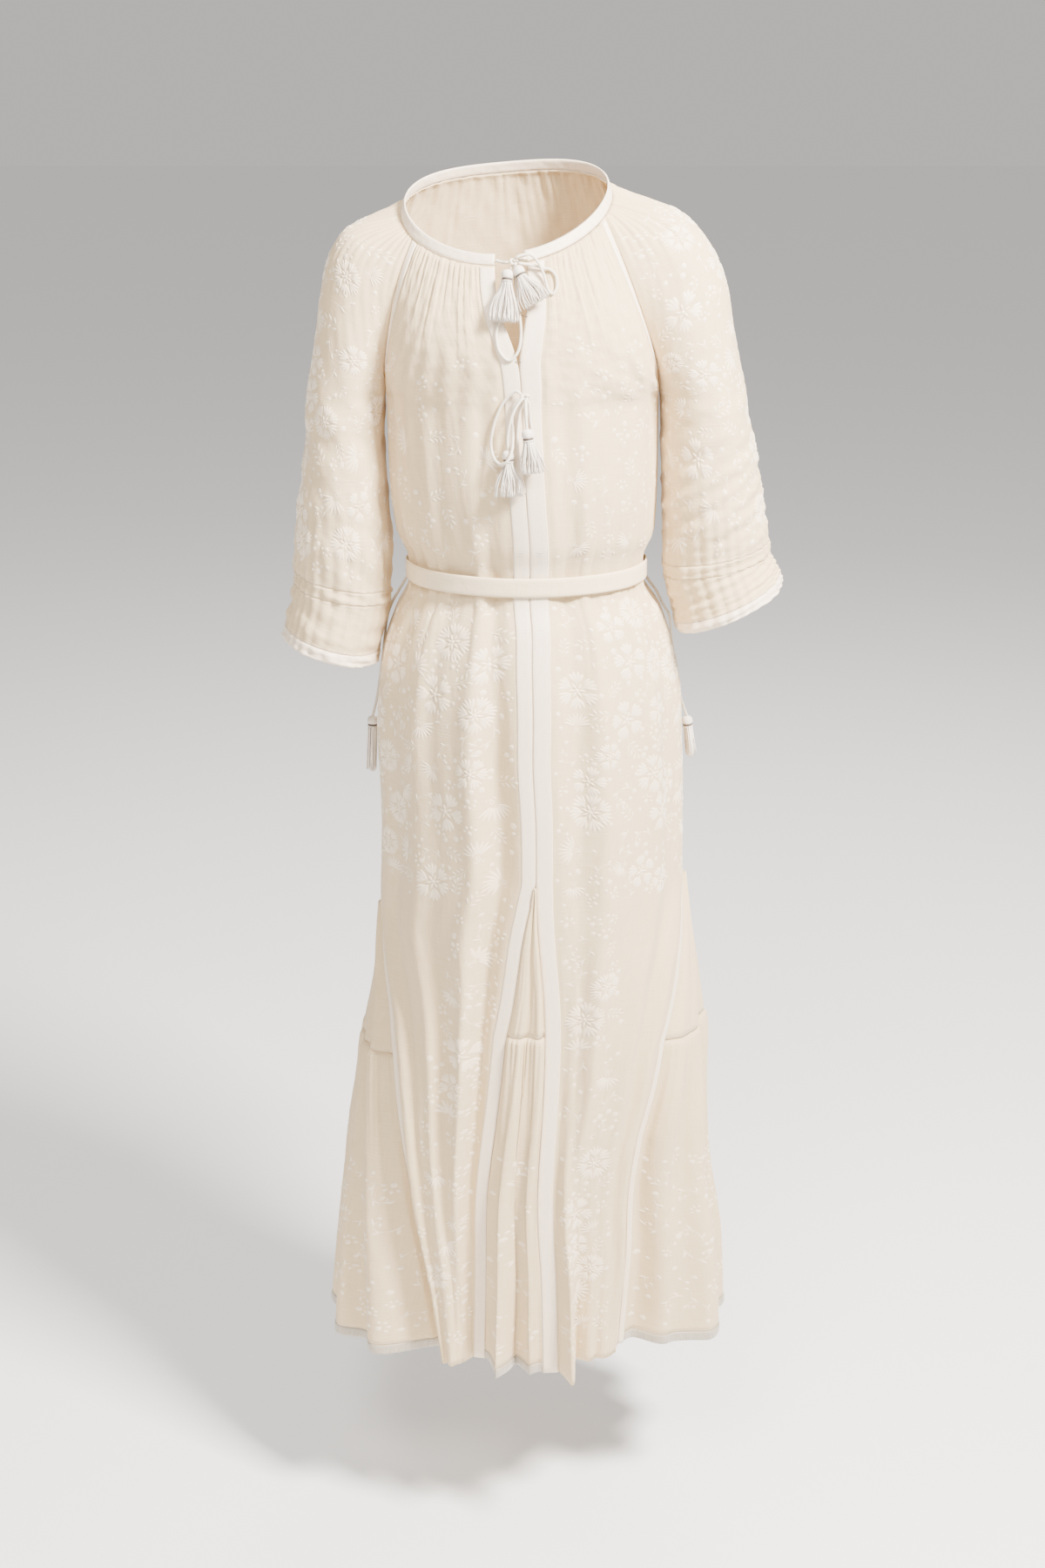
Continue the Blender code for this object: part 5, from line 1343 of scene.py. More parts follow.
@dataclass
class Dress:
    """The cloth pieces: fronts, back, godets, sleeves, and what is sewn along their edges."""

    cloth: float = 0.9 * MM
    casing: float = 1.3 * MM
    binding: float = 11.5 * MM
    # Half the gap at a seam between two pieces, and how far a cut piece starts below its tip
    seam_gap: float = 0.2 * MM
    tip_gap: float = 4 * MM
    # Where the row of stitches above the hem lies
    hem_row: float = -1.2385
    # Lengths, widths and spacing of the stitches across plackets and side tapes
    bars: StitchRow = StitchRow(3.2 * MM, 1.1 * MM, 8.5 * MM, 0.3 * MM)
    seam_bars: StitchRow = StitchRow(7.5 * MM, 1.0 * MM, 7.0 * MM, 0.3 * MM)
    panels: dict[str, Panel] = field(default_factory=dict)
    sleeves: dict[Side, Sleeve] = field(default_factory=dict)
    materials: dict[str, bpy.types.Material] = field(default_factory=dict)
    rows: list[tuple[Array, Array, StitchRow]] = field(default_factory=list)

    def __post_init__(self) -> None:
        """Draws every surface."""
        left, right = CHEST_LEFT + GODET_LEFT_FRONT, CHEST_RIGHT + GODET_RIGHT_FRONT
        self.panels = {
            "front_left": Panel(
                "front_left", CENTRE + GODET_CENTRE_LEFT[1:], left, FRONT_LEFT_FOLDS,
                15 * MM, 10 * MM, slit=-8.7, gathers=21, seed=2,
            ),
            "front_right": Panel(
                "front_right", CENTRE + GODET_CENTRE_RIGHT[1:], right, FRONT_RIGHT_FOLDS,
                18 * MM, 10 * MM, slit=14.6, gathers=21, seed=5,
            ),
            "back": Panel(
                "back", CHEST_LEFT + GODET_LEFT_BACK, CHEST_RIGHT + GODET_RIGHT_BACK, BACK_FOLDS,
                behind=True, gathers=30, seed=8,
            ),
            "godet_front": Panel(
                "godet_front", GODET_CENTRE_LEFT, GODET_CENTRE_RIGHT, FRONT_GODET_FOLDS,
                tier=-0.843, tier_gathers=11, seed=12,
            ),
            "godet_left": Panel(
                "godet_left", GODET_LEFT_FRONT, GODET_LEFT_BACK, LEFT_GODET_FOLDS,
                tier=-0.895, tier_gathers=34, seed=14,
            ),
            "godet_right": Panel(
                "godet_right", GODET_RIGHT_FRONT, GODET_RIGHT_BACK, RIGHT_GODET_FOLDS,
                tier=-0.871, tier_gathers=34, seed=16,
            ),
        }
        for side, shoulder, rings, seed in (
            (Side.LEFT, SHOULDER_LEFT, SLEEVE_LEFT_RINGS, 3),
            (Side.RIGHT, SHOULDER_RIGHT, SLEEVE_RIGHT_RINGS, 6),
        ):
            self.sleeves[side] = Sleeve(
                side=side, front=self.panels[f"front_{side.word}"], back=self.panels["back"],
                shoulder=shoulder, rings=rings, seed=seed,
            )
        finishes = (IVORY, BELT_LINEN, TAPE, GREY_SATIN, SILK, THREAD)
        self.materials = {finish.name: finish.make() for finish in finishes}

    def material(self, finish: Linen | Satin) -> bpy.types.Material:
        """The material of a finish."""
        return self.materials[finish.name]

    def declare(
        self, piece: bpy.types.Object, node: str, slot: str, flat: tuple[float, float], held: str,
        area: float | None = None,
    ) -> None:
        """Hangs a cloth piece on the root, hides the solid it stands for and logs it.

        Args:
            piece: The shell.
            node: The solid it replaces.
            slot: The material slot; not used.
            flat: Width and length of the cut, in metres; not used.
            held: How the cloth is held; not used.
            area: The cut's area where it isn't a rectangle; not used.
        """
        declare(piece, slot, node)
        LOG.info("%s stands for %s", piece.name, node)

    def build_panels(self) -> None:
        """Fronts and back, from the neckline to the hem."""
        down = np.r_[np.linspace(0, 1, 62)[:-1], np.linspace(1, level_of(BODY.hem_z), 132)]
        strip = np.linspace(0, 1, 7)[1:]
        core = np.linspace(0, 1, 107)
        front = np.r_[np.linspace(-1, 0, 7)[:-1], core, 1 + strip]
        for name, flat, area in (
            ("front_left", (0.30, 1.36), 0.28),
            ("front_right", (0.30, 1.36), 0.28),
            ("back", (0.62, 1.38), 0.62),
        ):
            panel = self.panels[name]
            across = np.linspace(0, 1, 108) if panel.behind else front
            piece = cloth_shell(panel, across, down, self.cloth, self.material(IVORY), f"{name}_cloth")
            self.declare(piece, name, "linen", flat, "gathered", area)

    def build_godets(self) -> None:
        """Each godet's plain upper piece, gathered tier and satin hem binding."""
        left_tip, right_tip = GODET_TIPS.values()
        for name, tip, count, upper_cut, lower_cut, binding_cut in (
            ("godet_front", SLIT_TIP, 60, (0.07, 0.18, 0.0062), (0.10, 0.40, 0.035), (0.13, 0.0115)),
            ("godet_left", left_tip, 140, (0.30, 0.17, 0.022), (0.42, 0.36, 0.13), (0.52, 0.0115)),
            ("godet_right", right_tip, 140, (0.32, 0.18, 0.028), (0.42, 0.38, 0.14), (0.52, 0.0115)),
        ):
            panel = self.panels[name]
            across = np.linspace(0, 1, count)
            top, tier = level_of(tip) + self.tip_gap, level_of(panel.tier)
            hem, end = level_of(BODY.hem_z + self.binding), level_of(BODY.hem_z)
            ivory = self.material(IVORY)
            down = np.linspace(top, tier - self.seam_gap, 24)
            upper = cloth_shell(panel, across, down, self.cloth, ivory, f"{name}_plain")
            self.declare(upper, f"{name}_upper", "linen", upper_cut[:2], "hung", upper_cut[2])
            down = np.linspace(tier + self.seam_gap, hem, 62)
            lower = cloth_shell(panel, across, down, self.cloth, ivory, f"{name}_tier")
            self.declare(lower, f"{name}_lower", "linen", lower_cut[:2], "gathered", lower_cut[2])
            bound = self.band(
                panel, across, hem + self.seam_gap, end, self.cloth, GREY_SATIN, f"{name}_hem_binding"
            )
            self.declare(bound, f"{name}_binding", "satin", binding_cut, "folded")

    def band(
        self, cloth: Cloth, across: Array, top: float, end: float, swell: float, finish: Satin | Linen,
        name: str, ring: bool = False,
    ) -> bpy.types.Object:
        """A tape folded round an edge, rounder than the cloth it binds.

        Args:
            cloth: The surface it follows.
            across: Places across.
            top: The upper place down.
            end: The lower place down.
            swell: How far its middle stands out.
            finish: Its finish.
            name: The object's name.
            ring: Whether it closes round a tube.

        Returns:
            The tape's object.
        """
        rounding = np.linspace(0, 1, 9)
        grid = np.meshgrid(across, mix(top, end, rounding))
        profile = np.sqrt(np.maximum(1 - (2 * rounding - 1) ** 4, 0.0))[:, None]
        middle = cloth.point(*grid)
        normal = cloth.normal(*grid)
        outer = middle + normal * (profile * swell)[..., None]
        inner = middle - normal * (profile * swell + 0.4 * MM)[..., None]
        if ring:
            for side in (outer, inner):
                side[:, 0] = side[:, -1] = (side[:, 0] + side[:, -1]) / 2
        mesh = Mesh()
        mesh.shell(outer, inner, cloth_places(outer), 0 if ring else None)
        return mesh.build(name, self.material(finish))

    def build_sleeves(self) -> None:
        """Sleeves, drawn casings, flared cuffs and their satin edges."""
        across = np.linspace(-1, 1, 133)
        for side, sleeve in self.sleeves.items():
            word = side.word
            down = np.r_[np.linspace(0, 1, 56)[:-1], np.linspace(1, 4.99, 66)]
            ivory = self.material(IVORY)
            body = cloth_shell(sleeve, across, down, self.cloth, ivory, f"sleeve_{word}_cloth", joined=1)
            self.declare(body, f"sleeve_{word}", "linen", (0.40, 0.46), "gathered", 0.135)
            down = np.linspace(5.01, 5.99, 7)
            casing = cloth_shell(sleeve, across, down, self.casing, ivory, f"sleeve_{word}_casing", joined=5)
            self.declare(casing, f"sleeve_casing_{word}", "linen", (0.36, 0.014), "gathered")
            down = np.linspace(6.01, 7.99, 26)
            cuff = cloth_shell(sleeve, across, down, self.cloth, ivory, f"cuff_{word}_cloth", joined=6)
            self.declare(cuff, f"cuff_{word}", "linen", (0.36, 0.05), "gathered")
            edge = self.band(sleeve, across, 8.01, 9.0, 1.0 * MM, TAPE, f"cuff_{word}_edge", ring=True)
            self.declare(edge, f"cuff_trim_{word}", "trim", (0.38, 0.012), "folded")

    def build_strips(self) -> None:
        """Plackets down the centre, and tapes along the raglan seams and the side godets."""
        hem = level_of(BODY.hem_z)
        for side, tip in GODET_TIPS.items():
            panel = self.panels[f"front_{side.word}"]
            word = side.word
            for kind, node, low, high, top, end, rows, cut, area in (
                ("placket", "placket", -0.98, -0.02, 0.012, hem, 260, (panel.strip_first, 1.27), None),
                ("raglan", "raglan_trim", 1.04, 1.84, 0.012, 0.81, 60, (0.010, 0.16), 0.0013),
                ("seam", "seam_trim", 1.03, 1.95, level_of(tip), hem, 110, (0.010, 0.53), None),
            ):
                across, down = np.linspace(low, high, 9), np.linspace(top, end, rows)
                piece = self.strip(panel, across, down, f"{kind}_{word}_tape")
                self.declare(piece, f"{node}_{word}", "trim", cut, "stretched", area)

    def strip(self, panel: Panel, across: Array, down: Array, name: str) -> bpy.types.Object:
        """A flat tape that lies on a panel's edge, a little crowned."""
        grid = np.meshgrid(across, down)
        crown = np.sqrt(np.maximum(1 - np.linspace(-1, 1, len(across)) ** 6, 0.0))[None, :]
        base, normal = panel.point(*grid), panel.normal(*grid)
        outer = base + normal * (0.35 * MM + 0.55 * MM * crown)[..., None]
        inner = base + normal * 0.25 * MM
        mesh = Mesh()
        mesh.shell(outer, inner, cloth_places(outer))
        return mesh.build(name, self.material(TAPE))

    def build_neckband(self) -> None:
        """The band stands on the gathered edge and leans in; its ends part at the slit."""
        turns = np.linspace(11.0, 354.0, 220)
        foot = BODY.neck(turns)
        along = unit(BODY.neck(turns + 0.5) - BODY.neck(turns - 0.5))
        level = np.stack((np.sin(np.radians(turns)), -np.cos(np.radians(turns)), 0 * turns), axis=-1)
        up = unit(np.array((0, 0, 1.0)) - level * 0.35)
        up = unit(up - along * np.sum(up * along, axis=-1, keepdims=True))
        out = np.cross(up, along)
        out = np.where(np.sum(out * level, axis=-1, keepdims=True) > 0, out, -out)
        rises = np.linspace(11.9, 0.3, 11) * MM
        profile = np.sqrt(np.maximum(1 - np.linspace(-1, 1, 11) ** 4, 0.0))[:, None]
        pucker = 0.25 * MM * ripple(turns[None, :] / 7.0, np.linspace(0, 1, 11)[:, None] * 1.5, 21)
        middle = foot + up * rises[:, None, None] + out * 0.3 * MM
        swell = (profile * 1.25 * MM + pucker * profile)[..., None]
        outer, inner = middle + out * swell, middle - out * swell * 0.9
        self.rows += [(outer[row], out, StitchRow()) for row in (1, 9)]
        mesh = Mesh()
        mesh.shell(outer, inner, cloth_places(outer))
        piece = mesh.build("neckband_tape", self.material(TAPE))
        self.declare(piece, "neckband", "trim", (0.50, 0.012), "folded")

    def build_belt(self) -> None:
        """A flat band round the waist, over both plackets."""
        turns = np.linspace(-180, 180, 241)
        across = np.linspace(-1, 1, 13)
        z = BODY.belt_z - across * 10 * MM
        sag = 0.5 * MM * ripple(np.abs(turns[None, :]) / 40.0, across[:, None] * 0.4, 33)
        crown = np.sqrt(np.maximum(1 - across**6, 0.0))[:, None]
        grid_turns = np.broadcast_to(turns, (13, 241))
        place = np.full(grid_turns.shape, BODY.belt_z)
        outer = BODY.ring(grid_turns, place, 3.0 * MM + 1.2 * MM * crown + sag * 0.4)
        inner = BODY.ring(grid_turns, place, 2.6 * MM)
        outer[..., 2] = inner[..., 2] = z[:, None] + sag
        away = unit(outer[6] - inner[6])
        self.rows += [(outer[row], away, StitchRow()) for row in (1, 11)]
        mesh = Mesh()
        mesh.shell(outer, inner, cloth_places(outer), 0)
        piece = mesh.build("belt_band", self.material(BELT_LINEN))
        self.declare(piece, "belt", "belt", (0.65, 0.020), "stretched")

    def line(
        self, cloth: Cloth, across: Array | float, down: Array | float, lift: float, row: StitchRow
    ) -> None:
        """Remembers a stitch row that lies on a cloth."""
        across, down = np.broadcast_arrays(np.asarray(across, float), np.asarray(down, float))
        line = cloth.lie_on(across, down, lift)
        self.rows.append((line, cloth.normal(across, down), row))

    def stitch(self) -> None:
        """Sews the edges of tapes, plackets, casings, cuffs, tiers and hems."""
        hem = level_of(BODY.hem_z)
        fine = StitchRow()
        edge = level_of(self.hem_row)
        for side, tip in GODET_TIPS.items():
            panel, sleeve = self.panels[f"front_{side.word}"], self.sleeves[side]
            down = np.linspace(0.03, hem - 2 * MM, 1300)
            for across in (-0.92, -0.10):
                self.line(panel, across, down, 0.85 * MM, fine)
            self.line(panel, -0.5, down, 0.9 * MM, self.bars)
            start = level_of(tip)
            self.line(panel, 1.5, np.linspace(start + 12 * MM, hem - 3 * MM, 500), 0.9 * MM, self.seam_bars)
            for across in (1.12, 1.86):
                self.line(panel, across, np.linspace(start + 6 * MM, hem - 2 * MM, 500), 0.8 * MM, fine)
            self.line(panel, 1.44, np.linspace(0.03, 0.80, 200), 0.85 * MM, fine)
            round_sleeve = np.linspace(-1, 1, 500)
            for level in (4.90, 5.12, 5.88, 6.10, 7.92):
                self.line(sleeve, round_sleeve, level, 0.1 * MM, fine)
            self.line(panel, np.linspace(0.01, 0.99, 260), edge, 0.05 * MM, fine)
        self.line(self.panels["back"], np.linspace(0.01, 0.99, 700), edge, 0.05 * MM, fine)
        for name in ("godet_front", "godet_left", "godet_right"):
            panel = self.panels[name]
            across = np.linspace(0.01, 0.99, 420)
            self.line(panel, across, level_of(panel.tier) - 2.5 * MM, 0.05 * MM, fine)
            self.line(panel, across, level_of(BODY.hem_z + self.binding) - 2 * MM, 0.05 * MM, fine)
        mesh = Mesh()
        for line, normals, row in self.rows:
            row.sew(mesh, line, normals)
        thing = mesh.build("seam_stitches", self.material(THREAD))
        declare(thing, "linen")
        LOG.info("%d rows of stitches", len(self.rows))

    def build_slit_bars(self) -> None:
        """Two short thread bars that hold the slit's edges; their near-black colour is painted shadow of the
        hook fastenings there.
        """
        panel = self.panels["front_right"]
        mesh = Mesh()
        for z, reach in ((-0.087, 7 * MM), (-0.130, 5 * MM)):
            levels = np.linspace(0.1, 1.0, 200)
            line = panel.lie_on(np.full(200, -0.93), levels, 1.5 * MM)
            level = float(np.interp(-z, -line[:, 2], levels))
            start = panel.lie_on(-0.93, level, 1.5 * MM)
            run = np.linspace(-reach, 0.5 * MM, 9)
            route = start + np.stack((run, 0 * run, -0.18 * run), axis=-1)
            tube(mesh, route, 0.45 * MM, 8, plies=2, pitch=3 * MM)
        # Near-black thread colour: painted shadow of the slit's hook fastenings.
        thing = mesh.build("slit_bars", BROWN_THREAD_AND_SHADOW.make())
        declare(thing, "trim")

    def embroider(self) -> None:
        """Covers the sleeves and the skirt, and strews a little over the bodice and the godets."""
        silk = self.material(SILK)
        every = tuple(Motif)
        for side, sleeve in self.sleeves.items():
            levels, lengths, girths = sleeve.measure()
            work = Embroidery(sleeve, sleeve.seed + 40)
            end = float(np.interp(4.80, levels, lengths))
            work.scatter((0.035, end), half_span(lengths, girths, 0.94), 1.0, every)
            work.build(f"sleeve_{side.word}_embroidery", silk, "linen")
        for name in ("front_left", "front_right", "back"):
            panel = self.panels[name]
            levels, lengths, widths = panel.measure()
            full = half_span(lengths, widths, 1.0, panel.strip_first, panel.strip_last)
            heights = (BODY.belt_z - 14 * MM, -0.70, BODY.hem_z)
            belt, knee, hem = (float(np.interp(level_of(z), levels, lengths)) for z in heights)
            work = Embroidery(panel, panel.seed + 60)
            share = 0.06 if panel.behind else 1.0
            work.scatter((belt, knee), full, 1.25 * share, every)
            inner = beside_edge(full, 0.070)
            if panel.behind:
                inner = half_span(lengths, np.full(widths.shape, 0.20), 1.0)
            work.scatter((knee, hem - 0.02), inner, 1.4 * share, every)
            work.scatter((0.12, belt - 0.03), full, 0.14 * share, (Motif.SPRIG, Motif.SCROLL, Motif.FAN))
            work.scatter((0.09, belt - 0.03), full, 0.30 * share, (Motif.CLUSTER, Motif.DOT))
            work.build(f"{name}_embroidery", silk, "linen")
        for name in ("godet_front", "godet_left", "godet_right"):
            panel = self.panels[name]
            levels, lengths, widths = panel.measure()
            tier, hem = (float(np.interp(level_of(z), levels, lengths)) for z in (panel.tier - 0.13, -1.23))
            work = Embroidery(panel, panel.seed + 80)
            kinds = (Motif.SCROLL, Motif.CLUSTER, Motif.DOT)
            work.scatter((tier, hem), half_span(lengths, widths, 1.0), 0.45, kinds)
            work.build(f"{name}_embroidery", silk, "linen")

    def build(self) -> None:
        """Builds every cloth piece."""
        self.build_panels()
        self.build_godets()
        self.build_sleeves()
        self.build_strips()
        self.build_neckband()
        self.build_belt()
        self.build_slit_bars()
        self.embroider()
        self.stitch()


@dataclass(frozen=True)
class Knot:
    """A cord knot that stands in an egg-shaped space."""

    name: str
    centre: Point
    half: Point

    def edge(self, way: Point, beyond: float = 0.0) -> Array:
        """A point just outside the knot in one direction."""
        direction = unit(np.array(way))
        reach = 1 / math.sqrt(float(np.sum((direction / np.array(self.half)) ** 2)))
        return np.array(self.centre) + direction * (reach + 0.3 * MM + beyond)


class FarEnd(Enum):
    """What a cord ends in."""

    KNOT = "knot"
    TASSEL = "fitting"


@dataclass(frozen=True)
class Cord:
    """One stretch of cord: the ways it leaves and enters its knot, and its route in millimetres."""

    name: str
    knot: str | None
    out: Point | None
    route: tuple[Point, ...]
    into: Point
    far_end: FarEnd
    pieces: tuple[str, ...] = ()


KNOTS = {
    knot.name: knot
    for knot in (
        Knot("neck_knot", (-0.0084, -0.1015, -0.0365), (0.005, 0.0045, 0.005)),
        Knot("chest_knot", (0.0026, -0.1255, -0.1635), (0.005, 0.004, 0.0045)),
    )
}
CORDS = (
    Cord(
        "neck_lead_left", "neck_knot", None, ((-25.6, -95.0, -35.2), (-20.5, -97.4, -36.6)), (-1, 0.1, 0),
        FarEnd.KNOT,
    ),
    Cord(
        "neck_lead_right", "neck_knot", None, ((3.3, -94.2, -33.0), (0.8, -96.8, -33.6)), (1, 0.45, 0.35),
        FarEnd.KNOT,
    ),
    Cord(
        "neck_loop_left", "neck_knot", (-0.5, 0.1, -1),
        (
            (-12.5, -101.4, -48.0), (-15.8, -103.8, -57.0), (-18.5, -107.8, -68.0),
            (-20.5, -111.8, -80.0), (-22.8, -114.8, -92.0), (-25.6, -117.5, -104.5),
            (-22.8, -120.1, -119.0), (-13.5, -121.2, -128.0), (-4.6, -120.6, -120.0),
            (-1.4, -118.0, -104.5), (-2.6, -114.3, -88.0), (-5.0, -107.0, -70.0), (-7.0, -101.6, -54.0),
        ),
        (0.1, 0.4, -1), FarEnd.KNOT, ("neck_knot", "neck_lead_left", "neck_tassel_left"),
    ),
    Cord(
        "neck_loop_right", "neck_knot", (0.5, -0.5, 0.85),
        (
            (0.5, -104.5, -29.0), (8.2, -103.5, -29.0), (15.6, -102.5, -37.0), (21.4, -102.5, -50.0),
            (24.4, -104.6, -60.5), (29.0, -106.2, -66.0), (33.2, -103.8, -60.5), (32.6, -100.2, -50.0),
            (27.0, -98.4, -43.8), (19.0, -99.0, -42.0), (9.0, -101.0, -39.0),
        ),
        (1, -0.25, -0.1), FarEnd.KNOT, ("neck_lead_right", "neck_tassel_right"),
    ),
    Cord(
        "chest_loop_left", "chest_knot", (-0.75, -0.2, 0.6),
        (
            (-7.0, -125.2, -157.5), (-14.5, -123.6, -163.5), (-22.0, -122.8, -174.5), (-28.4, -122.6, -192.0),
            (-31.0, -124.0, -209.0), (-28.6, -129.0, -221.5),
            (-22.0, -139.0, -227.0), (-14.5, -143.6, -222.5),
            (-10.0, -139.0, -212.0), (-9.2, -129.0, -198.0), (-10.4, -124.6, -183.0), (-8.6, -124.4, -172.0),
        ),
        (-1, 0.0, -0.35), FarEnd.KNOT, ("chest_knot",),
    ),
    Cord(
        "chest_loop_right", "chest_knot", (-0.35, 0.0, -1),
        (
            (-2.6, -123.6, -177.0), (-4.4, -124.8, -192.0), (-5.0, -126.0, -208.0), (-3.4, -127.0, -222.0),
            (0.8, -127.8, -234.5), (7.0, -128.0, -238.5), (11.6, -127.4, -231.0), (12.2, -126.4, -216.0),
            (10.0, -125.4, -200.0), (7.4, -124.4, -184.0),
        ),
        (0.6, 0.0, -1), FarEnd.KNOT,
    ),
    Cord(
        "chest_tail_left", "chest_knot", (-0.75, -0.9, -0.35),
        ((-7.4, -132.6, -174.0), (-12.0, -134.0, -186.0), (-14.6, -133.8, -201.0)), (-14.4, -133.2, -213.6),
        FarEnd.TASSEL, ("chest_tassel_left",),
    ),
    Cord(
        "chest_tail_right", "chest_knot", (0.1, -1, -0.75), ((3.4, -136.0, -179.0),), (4.3, -139.0, -191.6),
        FarEnd.TASSEL, ("chest_tassel_right",),
    ),
    Cord(
        "belt_cord_right", None, None,
        (
            (128.3, 4.4, -370.0), (134.8, 4.9, -380.0), (142.6, 5.8, -391.0), (149.4, 7.6, -405.0),
            (157.8, 9.2, -421.0), (160.4, 10.7, -447.0), (164.6, 11.8, -470.0), (168.4, 12.4, -493.0),
            (172.4, 13.0, -514.0),
        ),
        (179.0, 13.5, -532.6), FarEnd.TASSEL, ("belt_tassel_right",),
    ),
    Cord(
        "belt_cord_left", None, None,
        (
            (-120.3, 4.4, -370.0), (-125.6, 4.9, -380.0), (-132.0, 5.8, -391.0), (-139.6, 7.6, -405.0),
            (-145.0, 9.2, -421.0), (-148.6, 10.7, -447.0), (-151.6, 11.8, -470.0), (-154.8, 12.4, -493.0),
            (-158.4, 13.0, -514.0),
        ),
        (-163.0, 13.5, -532.6), FarEnd.TASSEL, ("belt_tassel_left",),
    ),
)


def smooth_route(points: Array, step: float) -> Array:
    """Even points along a Catmull-Rom curve through a route."""
    ends = np.vstack((2 * points[0] - points[1], points, 2 * points[-1] - points[-2]))
    t = (np.arange(16) / 16)[:, None]
    fine = []
    for a, b, c, d in zip(ends, ends[1:], ends[2:], ends[3:]):
        turn = (2 * a - 5 * b + 4 * c - d) * t**2 + (3 * b - a - 3 * c + d) * t**3
        fine.append(0.5 * (2 * b + (c - a) * t + turn))
    fine = np.vstack((*fine, points[-1]))
    lengths = run_along(fine)
    wants = np.linspace(0, lengths[-1], max(3, round(lengths[-1] / step)) + 1)
    return np.stack([np.interp(wants, lengths, fine[:, k]) for k in range(3)], axis=-1)


def frames_along(route: Array) -> tuple[Array, Array]:
    """Two sideways directions along a route that turn as little as they can."""
    along = unit(np.gradient(route, axis=0))
    side = unit(np.cross(along[0], np.array((0.3, 0.5, 0.8))))
    sides = [side]
    for direction in along[1:]:
        side = unit(side - direction * np.dot(side, direction))
        sides.append(side)
    first = np.array(sides)
    return first, np.cross(along, first)


def tube(
    mesh: Mesh, route: Array, radius: Array | float, sides: int, plies: int = 0, pitch: float = 5 * MM
) -> None:
    """Adds a tube along a route, plain or twisted out of plies.

    Args:
        mesh: The mesh it goes into.
        route: Its middle line.
        radius: Its radius, or one for each point of the route.
        sides: Points round it.
        plies: How many strands show, or 0 where it is plain.
        pitch: The length in which a strand goes once round.
    """
    first, second = frames_along(route)
    run = run_along(route)
    turn = np.arange(sides) / sides * math.tau
    size = np.broadcast_to(np.asarray(radius, float), (len(route),))[:, None]
    if plies:
        swell = np.abs(np.cos((turn[None, :] - run[:, None] / pitch * math.tau) * plies / 2))
        size = size * (0.80 + 0.24 * swell)
    around = first[:, None] * np.cos(turn)[None, :, None] + second[:, None] * np.sin(turn)[None, :, None]
    points = route[:, None] + around * (size * np.ones((1, sides)))[..., None]
    places = np.stack(np.broadcast_arrays(turn[None, :] * np.mean(size), -run[:, None]), axis=-1)
    ends = [np.tile(route[k : k + 1, None], (1, sides, 1)) for k in (0, len(route) - 1)]
    points = np.concatenate((ends[0], points, ends[1]))
    places = np.concatenate((places[:1], places, places[-1:]))
    mesh.grid(points, places, ring=True, flip=True)


